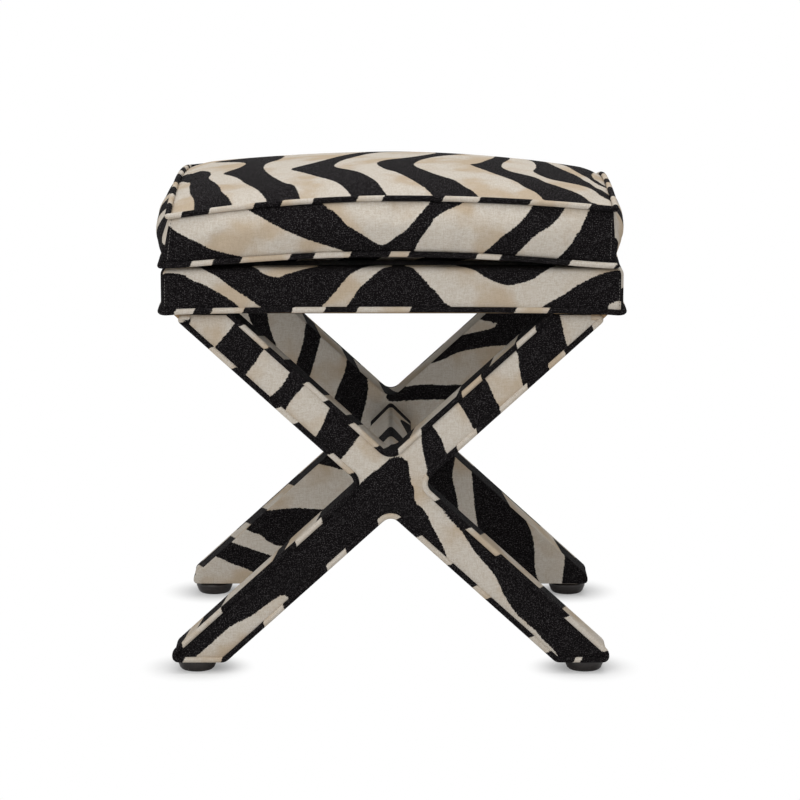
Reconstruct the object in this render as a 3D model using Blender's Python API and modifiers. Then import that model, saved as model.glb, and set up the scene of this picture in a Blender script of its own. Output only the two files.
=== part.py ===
"""An X-frame bench: a loose box cushion on an upholstered deck carried by two X frames.

Metres, +Z up. The floor is z = 0, the front is -Y, and the origin is under the middle of the seat.
"""

import math

import bmesh
import bpy
from mathutils import Vector

OBJECT_NAME = "x_frame_bench"

# Cloth, cord and the gap that touching pieces keep
CLEARANCE = 0.0003
FABRIC = 0.0012
WELT_RADIUS = 0.0028

# Glides under the feet, each held by one nail
GLIDE_HEIGHT = 0.0145
GLIDE_RADIUS = 0.0215
GLIDE_TIP_RADIUS = 0.0175
GLIDE_RIM = 0.0065
GLIDE_EDGE = 0.0015
GLIDE_INSET = 0.0215
NAIL_RADIUS = 0.0016
NAIL_HEAD_RADIUS = 0.0042
NAIL_HEAD = 0.0012
NAIL_RECESS = 0.0035
NAIL_REACH = 0.018

# X frames: insets run from the deck's sides to the cloth, the arm is bare timber
FRAME_HEIGHT = 0.3825
FOOT_CUT_HEIGHT = 0.0098
TOP_INSET = 0.0093
FOOT_INSET = 0.0115
ARM_WIDTH = 0.040
ARM_THICKNESS = 0.045
FRAME_INSET = 0.008
NOTCH_RADIUS = 0.014
FOOT_SHOULDER_RADIUS = 0.010
FOOT_TOE_RADIUS = 0.0045
FOOT_HEEL_RADIUS = 0.008

# Stretcher between the two crossings, a square beam set on its corner
STRETCHER_SIDE = 0.034
STRETCHER_EDGE_RADIUS = 0.003

# Bolts: four hold the frames to the deck, two hold the stretcher
BOLT_RADIUS = 0.004
BOLT_HEAD_RADIUS = 0.0065
BOLT_HEAD = 0.005
LEG_BOLT_REACH = 0.025
STRETCHER_BOLT_REACH = 0.045

# Deck: a ring of rails under a board, padded and covered
DECK_WIDTH = 0.490
DECK_DEPTH = 0.405
RAIL_HEIGHT = 0.034
RAIL_THICKNESS = 0.019
BLOCK_WIDTH = 0.055
BLOCK_DEPTH = 0.060
BOARD_THICKNESS = 0.009
PAD_THICKNESS = 0.003
DUST_CLOTH = 0.0008
DUST_INSET = 0.006
DECK_EDGE_RADIUS = 0.008
DECK_CORNER_RADIUS = 0.010
DECK_TURNOVER = 0.028

# Box cushion: how far its bottom corners pass the deck, then how its seams arch and its faces swell
CUSHION_OVERHANG = 0.001
CUSHION_TAPER = 0.006
BOXING_HEIGHT = 0.0575
CORNER_LIFT = 0.0017
TOP_ARCH = 0.0145
BOTTOM_ARCH = 0.013
CROWN = 0.020
CROWN_POWER = 0.8
SAG_POWER = 0.6
SIDE_BULGE = 0.014
BULGE_POWER = 1.6
CUSHION_CORNER_RADIUS = 0.0027

# Fineness of the facets
ARC_STEP = math.radians(18.0)
TURN_STEPS = 16
BORE_SIDES = 16
ROUND_SEGMENTS = 4
SMOOTH_ANGLE = math.radians(50.0)
CORD_RESOLUTION = 1
CUSHION_STEPS = (16, 14, 4)
CUT_MARGIN = 0.004
WELD = 1e-6
FILLET_ROOM = 0.49

# A cord lies in the corner of two covers and clears both and the core behind them
COVER = FABRIC + CLEARANCE
WELT_PROUD = (WELT_RADIUS + CLEARANCE) / math.sqrt(2.0) - COVER
SEAM_SETBACK = math.sqrt((WELT_RADIUS + CLEARANCE) ** 2 - WELT_PROUD ** 2) - WELT_PROUD

# The cushion's cords stand further out, clear of panels that swell away from the seam
CUSHION_SEAM = (WELT_RADIUS + CLEARANCE) / 2
FOAM_INSET = FABRIC + 2 * CLEARANCE

# Heights, from the floor up
SOLE_Z = GLIDE_HEIGHT + CLEARANCE
FRAME_TOP_Z = SOLE_Z + FRAME_HEIGHT
DUST_Z = FRAME_TOP_Z + CLEARANCE
RAIL_Z = DUST_Z + DUST_CLOTH + CLEARANCE
RAIL_TOP_Z = RAIL_Z + RAIL_HEIGHT
BOARD_Z = RAIL_TOP_Z + CLEARANCE
BOARD_TOP_Z = BOARD_Z + BOARD_THICKNESS
PAD_Z = BOARD_TOP_Z + CLEARANCE
DECK_TOP_Z = PAD_Z + PAD_THICKNESS + COVER
DECK_SEAM_Z = RAIL_Z - COVER
CUSHION_Z = DECK_TOP_Z + CORNER_LIFT

# Widths that follow the deck
TOP_WIDTH = DECK_WIDTH - 2 * TOP_INSET
FOOT_WIDTH = DECK_WIDTH - 2 * FOOT_INSET
CUSHION_WIDTH = DECK_WIDTH + 2 * CUSHION_OVERHANG
CUSHION_DEPTH = DECK_DEPTH + 2 * CUSHION_OVERHANG

# Places in plan
FRAME_Y = DECK_DEPTH / 2 - FRAME_INSET - COVER - ARM_THICKNESS / 2
RAIL_OUT = Vector((DECK_WIDTH / 2 - COVER, DECK_DEPTH / 2 - COVER))
BLOCK_OUT = Vector((RAIL_OUT.x - RAIL_THICKNESS - CLEARANCE, RAIL_OUT.y - RAIL_THICKNESS - CLEARANCE))
STRETCHER_LENGTH = 2 * (FRAME_Y - ARM_THICKNESS / 2 - COVER - CLEARANCE)

# Each arm runs straight from its end under the deck to the top of its foot's upright cut
ARM_HALF = ARM_WIDTH / 2 + COVER
ARM_SPAN = Vector(((TOP_WIDTH + FOOT_WIDTH) / 2, FRAME_HEIGHT - FOOT_CUT_HEIGHT))
ARM_ANGLE = math.atan2(ARM_SPAN.y, ARM_SPAN.x) + math.asin(2 * ARM_HALF / ARM_SPAN.length)
CROSSING_Z = FRAME_TOP_Z - TOP_WIDTH / 2 * math.tan(ARM_ANGLE) + ARM_HALF / math.cos(ARM_ANGLE)

MATERIALS = {
    "printed_linen": ((0.34, 0.31, 0.27), 0.85, 0.0),
    "printed_cord": ((0.22, 0.20, 0.18), 0.85, 0.0),
    "platform_cloth": ((0.05, 0.05, 0.05), 0.9, 0.0),
    "dust_cloth": ((0.02, 0.02, 0.02), 0.95, 0.0),
    "foam": ((0.80, 0.74, 0.52), 0.9, 0.0),
    "felt": ((0.62, 0.60, 0.56), 0.95, 0.0),
    "timber": ((0.60, 0.42, 0.24), 0.6, 0.0),
    "plywood": ((0.68, 0.52, 0.33), 0.65, 0.0),
    "steel": ((0.55, 0.55, 0.56), 0.35, 1.0),
    "dark_plastic": ((0.022, 0.017, 0.015), 0.45, 0.0),
}


# Scene housekeeping

def clear_objects():
    for old in list(bpy.data.objects):
        bpy.data.objects.remove(old, do_unlink=True)


def collection_named(name):
    collection = bpy.data.collections.get(name) or bpy.data.collections.new(name)
    if name not in bpy.context.scene.collection.children:
        bpy.context.scene.collection.children.link(collection)
    return collection


clear_objects()
PARTS = collection_named(OBJECT_NAME)
CUTTERS = collection_named("cutters")


def material_named(name):
    material = bpy.data.materials.get(name) or bpy.data.materials.new(name)
    colour, roughness, metallic = MATERIALS[name]
    material.use_nodes = True
    shader = material.node_tree.nodes["Principled BSDF"]
    shader.inputs["Base Color"].default_value = (*colour, 1.0)
    shader.inputs["Roughness"].default_value = roughness
    shader.inputs["Metallic"].default_value = metallic
    material.diffuse_color = (*colour, 1.0)
    return material


def add_part(name, mesh, finish, parent=None, location=(0, 0, 0), turn=0.0):
    mesh.name = name
    mesh.materials.clear()
    mesh.materials.append(material_named(finish))
    part = bpy.data.objects.new(name, mesh)
    part.parent = parent
    part.location = location
    part.rotation_euler.z = turn
    PARTS.objects.link(part)
    return part


def add_cutter(name, mesh):
    cutter = bpy.data.objects.new(name, mesh)
    cutter.hide_render = True
    cutter.display_type = "WIRE"
    CUTTERS.objects.link(cutter)
    return cutter


def cut(part, cutter, operation="DIFFERENCE"):
    boolean = part.modifiers.new(cutter.name, "BOOLEAN")
    boolean.operation = operation
    boolean.object = cutter


def finish_mesh(name, bm, smooth=False):
    mesh = bpy.data.meshes.new(name)
    bm.to_mesh(mesh)
    bm.free()
    if smooth:
        mesh.shade_smooth()
        mesh.set_sharp_from_angle(angle=SMOOTH_ANGLE)
    return mesh


def evaluated_mesh(source):
    """The finished mesh of a curve or of an object with modifiers, its doubles welded."""
    graph = bpy.context.evaluated_depsgraph_get()
    mesh = bpy.data.meshes.new_from_object(source.evaluated_get(graph))
    bpy.data.objects.remove(source, do_unlink=True)
    bm = bmesh.new()
    bm.from_mesh(mesh)
    bmesh.ops.remove_doubles(bm, verts=bm.verts, dist=WELD)
    bmesh.ops.recalc_face_normals(bm, faces=bm.faces)
    bm.to_mesh(mesh)
    bm.free()
    return mesh


# Outlines

def corner_arc(before, here, after, radius):
    """Points of a fillet at one corner, kept within the two edges that it joins."""
    towards, away = before - here, after - here
    room = FILLET_ROOM * min(towards.length, away.length)
    half = towards.angle(away) / 2
    reach = min(radius / math.tan(half), room)
    radius = reach * math.tan(half)
    towards.normalize()
    away.normalize()
    centre = here + (towards + away).normalized() * (radius / math.sin(half))
    first = here + towards * reach - centre
    last = here + away * reach - centre
    sweep = first.angle_signed(last)
    steps = max(2, math.ceil(abs(sweep) / ARC_STEP))
    start = math.atan2(first.y, first.x)
    angles = [start - sweep * i / steps for i in range(steps + 1)]
    return [centre + Vector((math.cos(a), math.sin(a))) * radius for a in angles]


def rounded(corners, closed=True):
    """An outline through (x, y, radius) corners; a corner of no radius stays sharp."""
    places = [Vector(corner[:2]) for corner in corners]
    points = []
    for i, (here, corner) in enumerate(zip(places, corners)):
        if corner[2] > 0 and (closed or 0 < i < len(places) - 1):
            points += corner_arc(places[i - 1], here, places[(i + 1) % len(places)], corner[2])
        else:
            points.append(here)
    return points


def curve_object(points, closed):
    curve = bpy.data.curves.new("path", "CURVE")
    spline = curve.splines.new("POLY")
    spline.points.add(len(points) - 1)
    for spot, point in zip(spline.points, points):
        spot.co = (*point, 1.0)
    spline.use_cyclic_u = closed
    source = bpy.data.objects.new("path", curve)
    CUTTERS.objects.link(source)
    return source


def plate_mesh(outline, thickness, upright=False):
    """A flat outline with thickness about its own plane; an upright one stands in XZ."""
    source = curve_object([(p.x, p.y, 0.0) for p in outline], True)
    source.data.dimensions = "2D"
    source.data.fill_mode = "BOTH"
    source.data.extrude = thickness / 2
    mesh = evaluated_mesh(source)
    if upright:
        for vert in mesh.vertices:
            vert.co = (vert.co.x, -vert.co.z, vert.co.y)
    return mesh


def cord_mesh(points, closed):
    source = curve_object(points, closed)
    source.data.dimensions = "3D"
    source.data.bevel_depth = WELT_RADIUS
    source.data.bevel_resolution = CORD_RESOLUTION
    source.data.use_fill_caps = True
    mesh = evaluated_mesh(source)
    mesh.shade_smooth()
    mesh.set_sharp_from_angle(angle=SMOOTH_ANGLE)
    return mesh


def faces_looking(bm, axis):
    """The faces that look more along an axis than across it."""
    return [f for f in bm.faces if f.normal.dot(axis) > f.normal.cross(axis).length]


def box_mesh(low, high):
    """A box between two corners."""
    bm = bmesh.new()
    bmesh.ops.create_cube(bm, size=1.0)
    low, high = Vector(low), Vector(high)
    bmesh.ops.scale(bm, vec=high - low, verts=bm.verts)
    bmesh.ops.translate(bm, vec=(low + high) / 2, verts=bm.verts)
    return finish_mesh("box", bm)


def bore(name, start, end, radius):
    """A round cutter between two points."""
    start, end = Vector(start), Vector(end)
    bm = bmesh.new()
    bmesh.ops.create_cone(bm, cap_ends=True, segments=BORE_SIDES, radius1=radius, radius2=radius,
                          depth=(end - start).length)
    bmesh.ops.rotate(bm, matrix=(end - start).to_track_quat("Z", "Y").to_matrix(), verts=bm.verts)
    bmesh.ops.translate(bm, vec=(start + end) / 2, verts=bm.verts)
    return add_cutter(name, finish_mesh(name, bm))


def turned_part(name, profile, finish, closed, location, turn=(0.0, 0.0, 0.0)):
    """A turned piece: its (radius, height) profile runs top to bottom on the outer side."""
    bm = bmesh.new()
    verts = [bm.verts.new((radius, 0.0, height)) for radius, height in profile]
    pairs = list(zip(verts, verts[1:]))
    if closed:
        pairs.append((verts[-1], verts[0]))
    for pair in pairs:
        bm.edges.new(pair)
    part = add_part(name, finish_mesh(name, bm), finish, location=location)
    part.rotation_euler = turn
    screw = part.modifiers.new("turn", "SCREW")
    screw.steps = screw.render_steps = TURN_STEPS
    screw.use_merge_vertices = True
    screw.merge_threshold = WELD
    screw.use_smooth_shade = False
    return part


# The X frames

def arm_places(grow):
    """Key places on an X whose outline stands this far outside the bare timber."""
    half = ARM_WIDTH / 2 + grow
    slope = math.tan(ARM_ANGLE)
    side = half / math.sin(ARM_ANGLE)
    peak = half / math.cos(ARM_ANGLE)
    foot = FOOT_WIDTH / 2 - COVER + grow
    sole = SOLE_Z + COVER - grow
    return {
        "side": side, "peak": peak, "foot": foot, "sole": sole,
        "shoulder": CROSSING_Z - (foot - side) * slope,
        "top_out": side + (FRAME_TOP_Z - CROSSING_Z) / slope,
        "top_in": (FRAME_TOP_Z - CROSSING_Z - peak) / slope,
        "sole_in": (CROSSING_Z - peak - sole) / slope,
    }


def hollow(grow):
    return max(NOTCH_RADIUS + COVER - grow, CLEARANCE)


def side_path(grow, drop=0.0):
    """From the top left end round the feet to the top right end, starting this far below the deck."""
    at = arm_places(grow)
    spread = grow - COVER
    left = [
        (drop / math.tan(ARM_ANGLE) - at["top_out"], FRAME_TOP_Z - drop, 0.0),
        (-at["side"], CROSSING_Z, hollow(grow)),
        (-at["foot"], at["shoulder"], FOOT_SHOULDER_RADIUS + spread),
        (-at["foot"], at["sole"], FOOT_TOE_RADIUS + spread),
        (-at["sole_in"], at["sole"], FOOT_HEEL_RADIUS + spread),
    ]
    right = [(-x, z, radius) for x, z, radius in reversed(left)]
    return left + [(0.0, CROSSING_Z - at["peak"], hollow(grow))] + right


def top_path(grow, drop=0.0):
    """The upper V, right to left, ending this far below the deck."""
    at = arm_places(grow)
    end = at["top_in"] - drop / math.tan(ARM_ANGLE)
    return [(end, FRAME_TOP_Z - drop, 0.0), (0.0, CROSSING_Z + at["peak"], hollow(grow)),
            (-end, FRAME_TOP_Z - drop, 0.0)]


def face_mesh(grow):
    return plate_mesh(rounded(side_path(grow) + top_path(grow)), FABRIC, upright=True)


def leg_mesh(lean):
    """One straight timber of an X, rising to the right where lean is 1 and to the left where -1."""
    at = arm_places(0.0)
    spread = COVER
    corners = [
        (-at["foot"], at["sole"], FOOT_TOE_RADIUS - spread),
        (-at["sole_in"], at["sole"], FOOT_HEEL_RADIUS - spread),
        (at["top_out"], FRAME_TOP_Z, 0.0),
        (at["top_in"], FRAME_TOP_Z, 0.0),
        (-at["foot"], at["shoulder"], FOOT_SHOULDER_RADIUS - spread),
    ]
    outline = [Vector((lean * p.x, p.y)) for p in rounded(corners)]
    return plate_mesh(outline, ARM_THICKNESS, upright=True)


def lap_cutter(name, lean, frame_y, keep):
    """The half of the crossing that a leg gives up to its twin; keep is the side it stays on."""
    length = ARM_THICKNESS + 2 * ARM_WIDTH
    width = ARM_WIDTH + 2 * CLEARANCE
    depth = ARM_THICKNESS / 2 + CUT_MARGIN
    bm = bmesh.new()
    bmesh.ops.create_cube(bm, size=1.0)
    bmesh.ops.scale(bm, vec=(length, depth, width), verts=bm.verts)
    cutter = add_cutter(name, finish_mesh(name, bm))
    cutter.rotation_euler.y = lean * ARM_ANGLE
    cutter.location = (0.0, frame_y + keep * (CLEARANCE / 2 - depth / 2), CROSSING_Z)
    return cutter


def strip_part(name, path, frame, finish="printed_linen"):
    """A band of cloth over the edge of an X, standing on the timber."""
    front = -ARM_THICKNESS / 2 - COVER + SEAM_SETBACK
    back = ARM_THICKNESS / 2
    bm = bmesh.new()
    verts = [bm.verts.new((p.x, front, p.y)) for p in path]
    edges = [bm.edges.new(pair) for pair in zip(verts, verts[1:])]
    band = bmesh.ops.extrude_edge_only(bm, edges=edges)
    moved = [item for item in band["geom"] if isinstance(item, bmesh.types.BMVert)]
    bmesh.ops.translate(bm, vec=(0.0, back - front, 0.0), verts=moved)
    part = add_part(name, finish_mesh(name, bm), finish, parent=frame)
    shell = part.modifiers.new("cloth", "SOLIDIFY")
    shell.thickness = FABRIC
    shell.offset = 1.0
    shell.use_even_offset = True
    return part


def build_x_frame(end, sign):
    """One X frame with its covers; its outer face looks along -Y before it is turned."""
    frame = bpy.data.objects.new(end + "_frame", None)
    frame.location = (0.0, sign * FRAME_Y, 0.0)
    frame.rotation_euler.z = 0.0 if sign < 0 else math.pi
    PARTS.objects.link(frame)

    legs = {}
    for lap, lean, keep in (("outer", 1, sign), ("inner", -1, -sign)):
        leg = add_part(end + "_leg_" + lap + "_lap", leg_mesh(lean), "timber", parent=frame)
        cut(leg, lap_cutter(end + "_" + lap + "_lap", -sign * lean, sign * FRAME_Y, keep))
        legs[lap] = leg

    outer_y = -ARM_THICKNESS / 2 - COVER + FABRIC / 2
    add_part(end + "_face_outer", face_mesh(COVER - SEAM_SETBACK), "printed_linen", frame, (0, outer_y, 0))
    inner = add_part(end + "_face_inner", face_mesh(COVER), "printed_linen", frame, (0, -outer_y, 0))

    side = strip_part(end + "_boxing_side", rounded(side_path(CLEARANCE), closed=False), frame)
    strip_part(end + "_boxing_top", rounded(top_path(CLEARANCE, FABRIC), closed=False), frame)

    seam_y = -ARM_THICKNESS / 2 - COVER - WELT_PROUD
    seam = COVER + WELT_PROUD
    for name, outline in (("_welt_side", side_path), ("_welt_top", top_path)):
        path = rounded(outline(seam, WELT_RADIUS), closed=False)
        line = [(p.x, seam_y, p.y) for p in path]
        add_part(end + name, cord_mesh(line, False), "printed_cord", parent=frame)
    return legs, inner, side


# Fasteners and glides

def bolt_profile(shank):
    """A cap-headed bolt hanging down from the underside of its head."""
    return [(0.0, BOLT_HEAD), (BOLT_HEAD_RADIUS, BOLT_HEAD), (BOLT_HEAD_RADIUS, 0.0),
            (BOLT_RADIUS, 0.0), (BOLT_RADIUS, -shank), (0.0, -shank)]


def build_leg_bolts(legs, blocks, dust):
    at = arm_places(0.0)
    arm_in = FRAME_Y - ARM_THICKNESS / 2
    bolt_x = (at["top_in"] + at["top_out"]) / 2 - LEG_BOLT_REACH / 2 / math.tan(ARM_ANGLE)
    bolt_y = (arm_in + BLOCK_OUT.y) / 2
    seat_z = RAIL_TOP_Z - BOLT_HEAD - 2 * CLEARANCE
    tip_z = FRAME_TOP_Z - LEG_BOLT_REACH
    for (end, side), leg in legs.items():
        x = bolt_x if side == "right" else -bolt_x
        y = -bolt_y if end == "front" else bolt_y
        place = end + "_" + side
        shaft = bore("leg_bolt_bore_" + place, (x, y, tip_z - CLEARANCE), (x, y, RAIL_TOP_Z + CUT_MARGIN),
                     BOLT_RADIUS + CLEARANCE)
        sink = bore("leg_bolt_sink_" + place, (x, y, seat_z), (x, y, RAIL_TOP_Z + CUT_MARGIN),
                    BOLT_HEAD_RADIUS + CLEARANCE)
        cut(leg, shaft)
        cut(dust, shaft)
        cut(blocks[end, side], shaft)
        cut(blocks[end, side], sink)
        head_z = seat_z + CLEARANCE
        turned_part("leg_bolt_" + place, bolt_profile(head_z - tip_z), "steel", False, (x, y, head_z))


def build_glides(legs, sides):
    at = arm_places(COVER)
    glide_x = at["foot"] - GLIDE_INSET
    hole = NAIL_RADIUS + CLEARANCE
    recess = NAIL_HEAD_RADIUS + CLEARANCE
    section = [
        (hole, GLIDE_HEIGHT), (GLIDE_RADIUS - GLIDE_EDGE, GLIDE_HEIGHT),
        (GLIDE_RADIUS, GLIDE_HEIGHT - GLIDE_EDGE), (GLIDE_RADIUS, GLIDE_HEIGHT - GLIDE_RIM),
        (GLIDE_TIP_RADIUS + GLIDE_EDGE, GLIDE_EDGE), (GLIDE_TIP_RADIUS, 0.0),
        (recess, 0.0), (recess, NAIL_RECESS), (hole, NAIL_RECESS),
    ]
    head_top = NAIL_RECESS - CLEARANCE
    tip = SOLE_Z + NAIL_REACH
    head_low = head_top - NAIL_HEAD
    nail = [(0.0, tip), (NAIL_RADIUS, tip - 2 * NAIL_RADIUS), (NAIL_RADIUS, head_top),
            (NAIL_HEAD_RADIUS, head_top), (NAIL_HEAD_RADIUS, head_low), (0.0, head_low)]
    for (end, side), leg in legs.items():
        x = glide_x if side == "right" else -glide_x
        y = -FRAME_Y if end == "front" else FRAME_Y
        place = end + "_" + side
        turned_part("glide_" + place, section, "dark_plastic", True, (x, y, 0.0))
        turned_part("glide_nail_" + place, nail, "steel", False, (x, y, 0.0))
        hole_cut = bore("nail_bore_" + place, (x, y, 0.0), (x, y, tip + CLEARANCE), hole)
        cut(leg, hole_cut)
        cut(sides[end], hole_cut)


def build_stretcher(legs, inners):
    half = STRETCHER_LENGTH / 2
    beam = add_part("stretcher_beam", box_mesh((-STRETCHER_SIDE / 2, -half, -STRETCHER_SIDE / 2),
                                               (STRETCHER_SIDE / 2, half, STRETCHER_SIDE / 2)), "timber")
    round_long_edges(beam.data, STRETCHER_EDGE_RADIUS)
    inner_side = STRETCHER_SIDE / 2 + CLEARANCE
    sleeve = add_part("stretcher_sleeve", box_mesh((-inner_side, -half, -inner_side),
                                                   (inner_side, half, inner_side)), "printed_linen")
    round_long_edges(sleeve.data, STRETCHER_EDGE_RADIUS + CLEARANCE, open_ends=True)
    shell = sleeve.modifiers.new("cloth", "SOLIDIFY")
    shell.thickness = FABRIC
    shell.offset = 1.0
    shell.use_even_offset = True
    for piece in (beam, sleeve):
        piece.location.z = CROSSING_Z
        piece.rotation_euler.y = math.pi / 4

    for end, sign in (("front", -1), ("rear", 1)):
        outer_y = sign * (FRAME_Y + ARM_THICKNESS / 2)
        seat_y = outer_y - sign * (BOLT_HEAD + 2 * CLEARANCE)
        tip_y = sign * (half - STRETCHER_BOLT_REACH)
        shaft = bore("stretcher_bore_" + end, (0, outer_y + sign * CUT_MARGIN, CROSSING_Z),
                     (0, tip_y - sign * CLEARANCE, CROSSING_Z), BOLT_RADIUS + CLEARANCE)
        sink = bore("stretcher_sink_" + end, (0, outer_y + sign * CUT_MARGIN, CROSSING_Z),
                    (0, seat_y, CROSSING_Z), BOLT_HEAD_RADIUS + CLEARANCE)
        cut(legs[end]["outer"], shaft)
        cut(legs[end]["outer"], sink)
        cut(legs[end]["inner"], shaft)
        cut(inners[end], shaft)
        cut(beam, shaft)
        head_y = seat_y + sign * CLEARANCE
        turned_part("stretcher_bolt_" + end, bolt_profile(abs(head_y - tip_y)), "steel", False,
                    (0, head_y, CROSSING_Z), (-sign * math.pi / 2, 0.0, 0.0))


def round_long_edges(mesh, radius, open_ends=False):
    """Rounds the edges that run along Y, and takes off the end faces where they are open."""
    bm = bmesh.new()
    bm.from_mesh(mesh)
    long_edges = [e for e in bm.edges if abs(e.verts[0].co.y - e.verts[1].co.y) > CLEARANCE]
    bmesh.ops.bevel(bm, geom=long_edges, offset=radius, segments=ROUND_SEGMENTS, profile=0.5, affect="EDGES")
    if open_ends:
        along_y = Vector((0, 1, 0))
        ends = faces_looking(bm, along_y) + faces_looking(bm, -along_y)
        bmesh.ops.delete(bm, geom=ends, context="FACES_ONLY")
    bm.to_mesh(mesh)
    bm.free()


# The deck

def rounded_rectangle(half_x, half_y, radius):
    corners = [(-half_x, -half_y, radius), (half_x, -half_y, radius),
               (half_x, half_y, radius), (-half_x, half_y, radius)]
    return rounded(corners)


def build_rails():
    corner = DECK_CORNER_RADIUS - COVER
    inside = RAIL_OUT.y - RAIL_THICKNESS
    middle = (RAIL_Z + RAIL_TOP_Z) / 2
    for name, sign in (("deck_rail_front", -1), ("deck_rail_back", 1)):
        end_x, out_y, in_y = sign * RAIL_OUT.x, sign * RAIL_OUT.y, sign * inside
        outline = rounded([(-end_x, out_y, corner), (end_x, out_y, corner),
                           (end_x, in_y, 0.0), (-end_x, in_y, 0.0)])
        add_part(name, plate_mesh(outline, RAIL_HEIGHT), "timber", location=(0, 0, middle))
    reach = inside - CLEARANCE
    for name, low_x in (("deck_rail_left", -RAIL_OUT.x), ("deck_rail_right", RAIL_OUT.x - RAIL_THICKNESS)):
        mesh = box_mesh((low_x, -reach, RAIL_Z), (low_x + RAIL_THICKNESS, reach, RAIL_TOP_Z))
        add_part(name, mesh, "timber")


def build_blocks():
    blocks = {}
    for end, sign_y in (("front", -1), ("rear", 1)):
        for side, sign_x in (("left", -1), ("right", 1)):
            near = Vector((sign_x * BLOCK_OUT.x, sign_y * BLOCK_OUT.y))
            far = near - Vector((sign_x * BLOCK_WIDTH, sign_y * BLOCK_DEPTH))
            low = (min(near.x, far.x), min(near.y, far.y), RAIL_Z)
            high = (max(near.x, far.x), max(near.y, far.y), RAIL_TOP_Z)
            blocks[end, side] = add_part("corner_block_" + end + "_" + side, box_mesh(low, high), "timber")
    return blocks


def build_deck_core():
    """The dust cloth, the board and its felt, each kept inside the rounded edge of the cover."""
    half = Vector((DECK_WIDTH / 2, DECK_DEPTH / 2))
    rise = max(BOARD_TOP_Z - (DECK_TOP_Z - DECK_EDGE_RADIUS), 0.0)
    edge = DECK_EDGE_RADIUS - math.sqrt(max((DECK_EDGE_RADIUS - COVER) ** 2 - rise ** 2, 0.0))
    layers = (
        ("dust_cover", DUST_INSET, DUST_Z, DUST_CLOTH, "dust_cloth"),
        ("deck_board", edge, BOARD_Z, BOARD_THICKNESS, "plywood"),
        ("deck_pad", DECK_EDGE_RADIUS, PAD_Z, PAD_THICKNESS, "felt"),
    )
    made = {}
    for name, inset, base, thickness, finish in layers:
        radius = max(DECK_CORNER_RADIUS - inset, CLEARANCE)
        outline = rounded_rectangle(half.x - inset, half.y - inset, radius)
        place = (0, 0, base + thickness / 2)
        made[name] = add_part(name, plate_mesh(outline, thickness), finish, location=place)
    return made["dust_cover"]


def deck_shell_mesh():
    """The deck's whole cover: four walls turned over a rounded edge on to the top."""
    half_x, half_y = DECK_WIDTH / 2, DECK_DEPTH / 2
    base = DECK_SEAM_Z + SEAM_SETBACK
    bm = bmesh.new()
    bm.from_mesh(box_mesh((-half_x, -half_y, base), (half_x, half_y, DECK_TOP_Z)))
    uprights = [e for e in bm.edges if abs(e.verts[0].co.z - e.verts[1].co.z) > CLEARANCE]
    bmesh.ops.bevel(bm, geom=uprights, offset=DECK_CORNER_RADIUS, segments=ROUND_SEGMENTS, profile=0.5,
                    affect="EDGES")
    rim = [e for e in bm.edges if min(v.co.z for v in e.verts) > DECK_TOP_Z - CLEARANCE]
    bmesh.ops.bevel(bm, geom=rim, offset=DECK_EDGE_RADIUS, segments=ROUND_SEGMENTS, profile=0.5,
                    affect="EDGES")
    bmesh.ops.delete(bm, geom=faces_looking(bm, Vector((0, 0, -1))), context="FACES_ONLY")
    source = bpy.data.objects.new("shell", finish_mesh("shell", bm, smooth=True))
    CUTTERS.objects.link(source)
    wall = source.modifiers.new("cloth", "SOLIDIFY")
    wall.thickness = FABRIC
    wall.offset = -1.0
    wall.use_even_offset = True
    return evaluated_mesh(source)


def build_deck_cover():
    shell = deck_shell_mesh()
    half = Vector((DECK_WIDTH / 2, DECK_DEPTH / 2))
    far = DECK_CORNER_RADIUS
    tall = 2 * (DECK_TOP_Z - DECK_SEAM_Z)
    middle = (DECK_TOP_Z + DECK_SEAM_Z) / 2
    for side, quarter in (("front", 0), ("right", 1), ("back", 2), ("left", 3)):
        along, out = (half.x, half.y) if quarter % 2 == 0 else (half.y, half.x)
        wedge = [(-along - far + CLEARANCE, -out - far), (along + far - CLEARANCE, -out - far),
                 (along - DECK_TURNOVER - CLEARANCE, -out + DECK_TURNOVER),
                 (-along + DECK_TURNOVER + CLEARANCE, -out + DECK_TURNOVER)]
        cutter = add_cutter("deck_wedge_" + side, plate_mesh([Vector(p) for p in wedge], tall))
        cutter.location.z = middle
        cutter.rotation_euler.z = quarter * math.pi / 2
        cut(add_part("deck_boxing_" + side, shell.copy(), "printed_linen"), cutter, "INTERSECT")
    reach = half - Vector((DECK_TURNOVER + CLEARANCE, DECK_TURNOVER + CLEARANCE))
    window = box_mesh((-reach.x, -reach.y, BOARD_Z), (reach.x, reach.y, DECK_TOP_Z + CUT_MARGIN))
    cut(add_part("deck_top_cloth", shell, "platform_cloth"), add_cutter("deck_window", window), "INTERSECT")

    seam = rounded_rectangle(half.x + WELT_PROUD, half.y + WELT_PROUD, DECK_CORNER_RADIUS + WELT_PROUD)
    line = [(p.x, p.y, DECK_SEAM_Z - WELT_PROUD) for p in seam]
    add_part("deck_welt", cord_mesh(line, True), "printed_cord")


# The cushion: u and v run from -1 to 1 across it, level from -1 at the bottom seam to 1 at the top

def corner_half(size, level):
    return size / 2 - CUSHION_TAPER * (level + 1) / 2


def bulge(along, level):
    return SIDE_BULGE * max(1 - level ** 2, 0.0) ** BULGE_POWER * (1 - along ** 4)


def seam_heights(along):
    """Heights of the bottom and top seams at a place along one side."""
    bow = 1 - along ** 2
    return CUSHION_Z + BOTTOM_ARCH * bow, CUSHION_Z + BOXING_HEIGHT + TOP_ARCH * bow


def level_at(height, along):
    low, high = seam_heights(along)
    return 2 * (height - low) / (high - low) - 1


def dome(u, v, power):
    return (max(1 - u * u, 0.0) * max(1 - v * v, 0.0)) ** power


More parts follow.
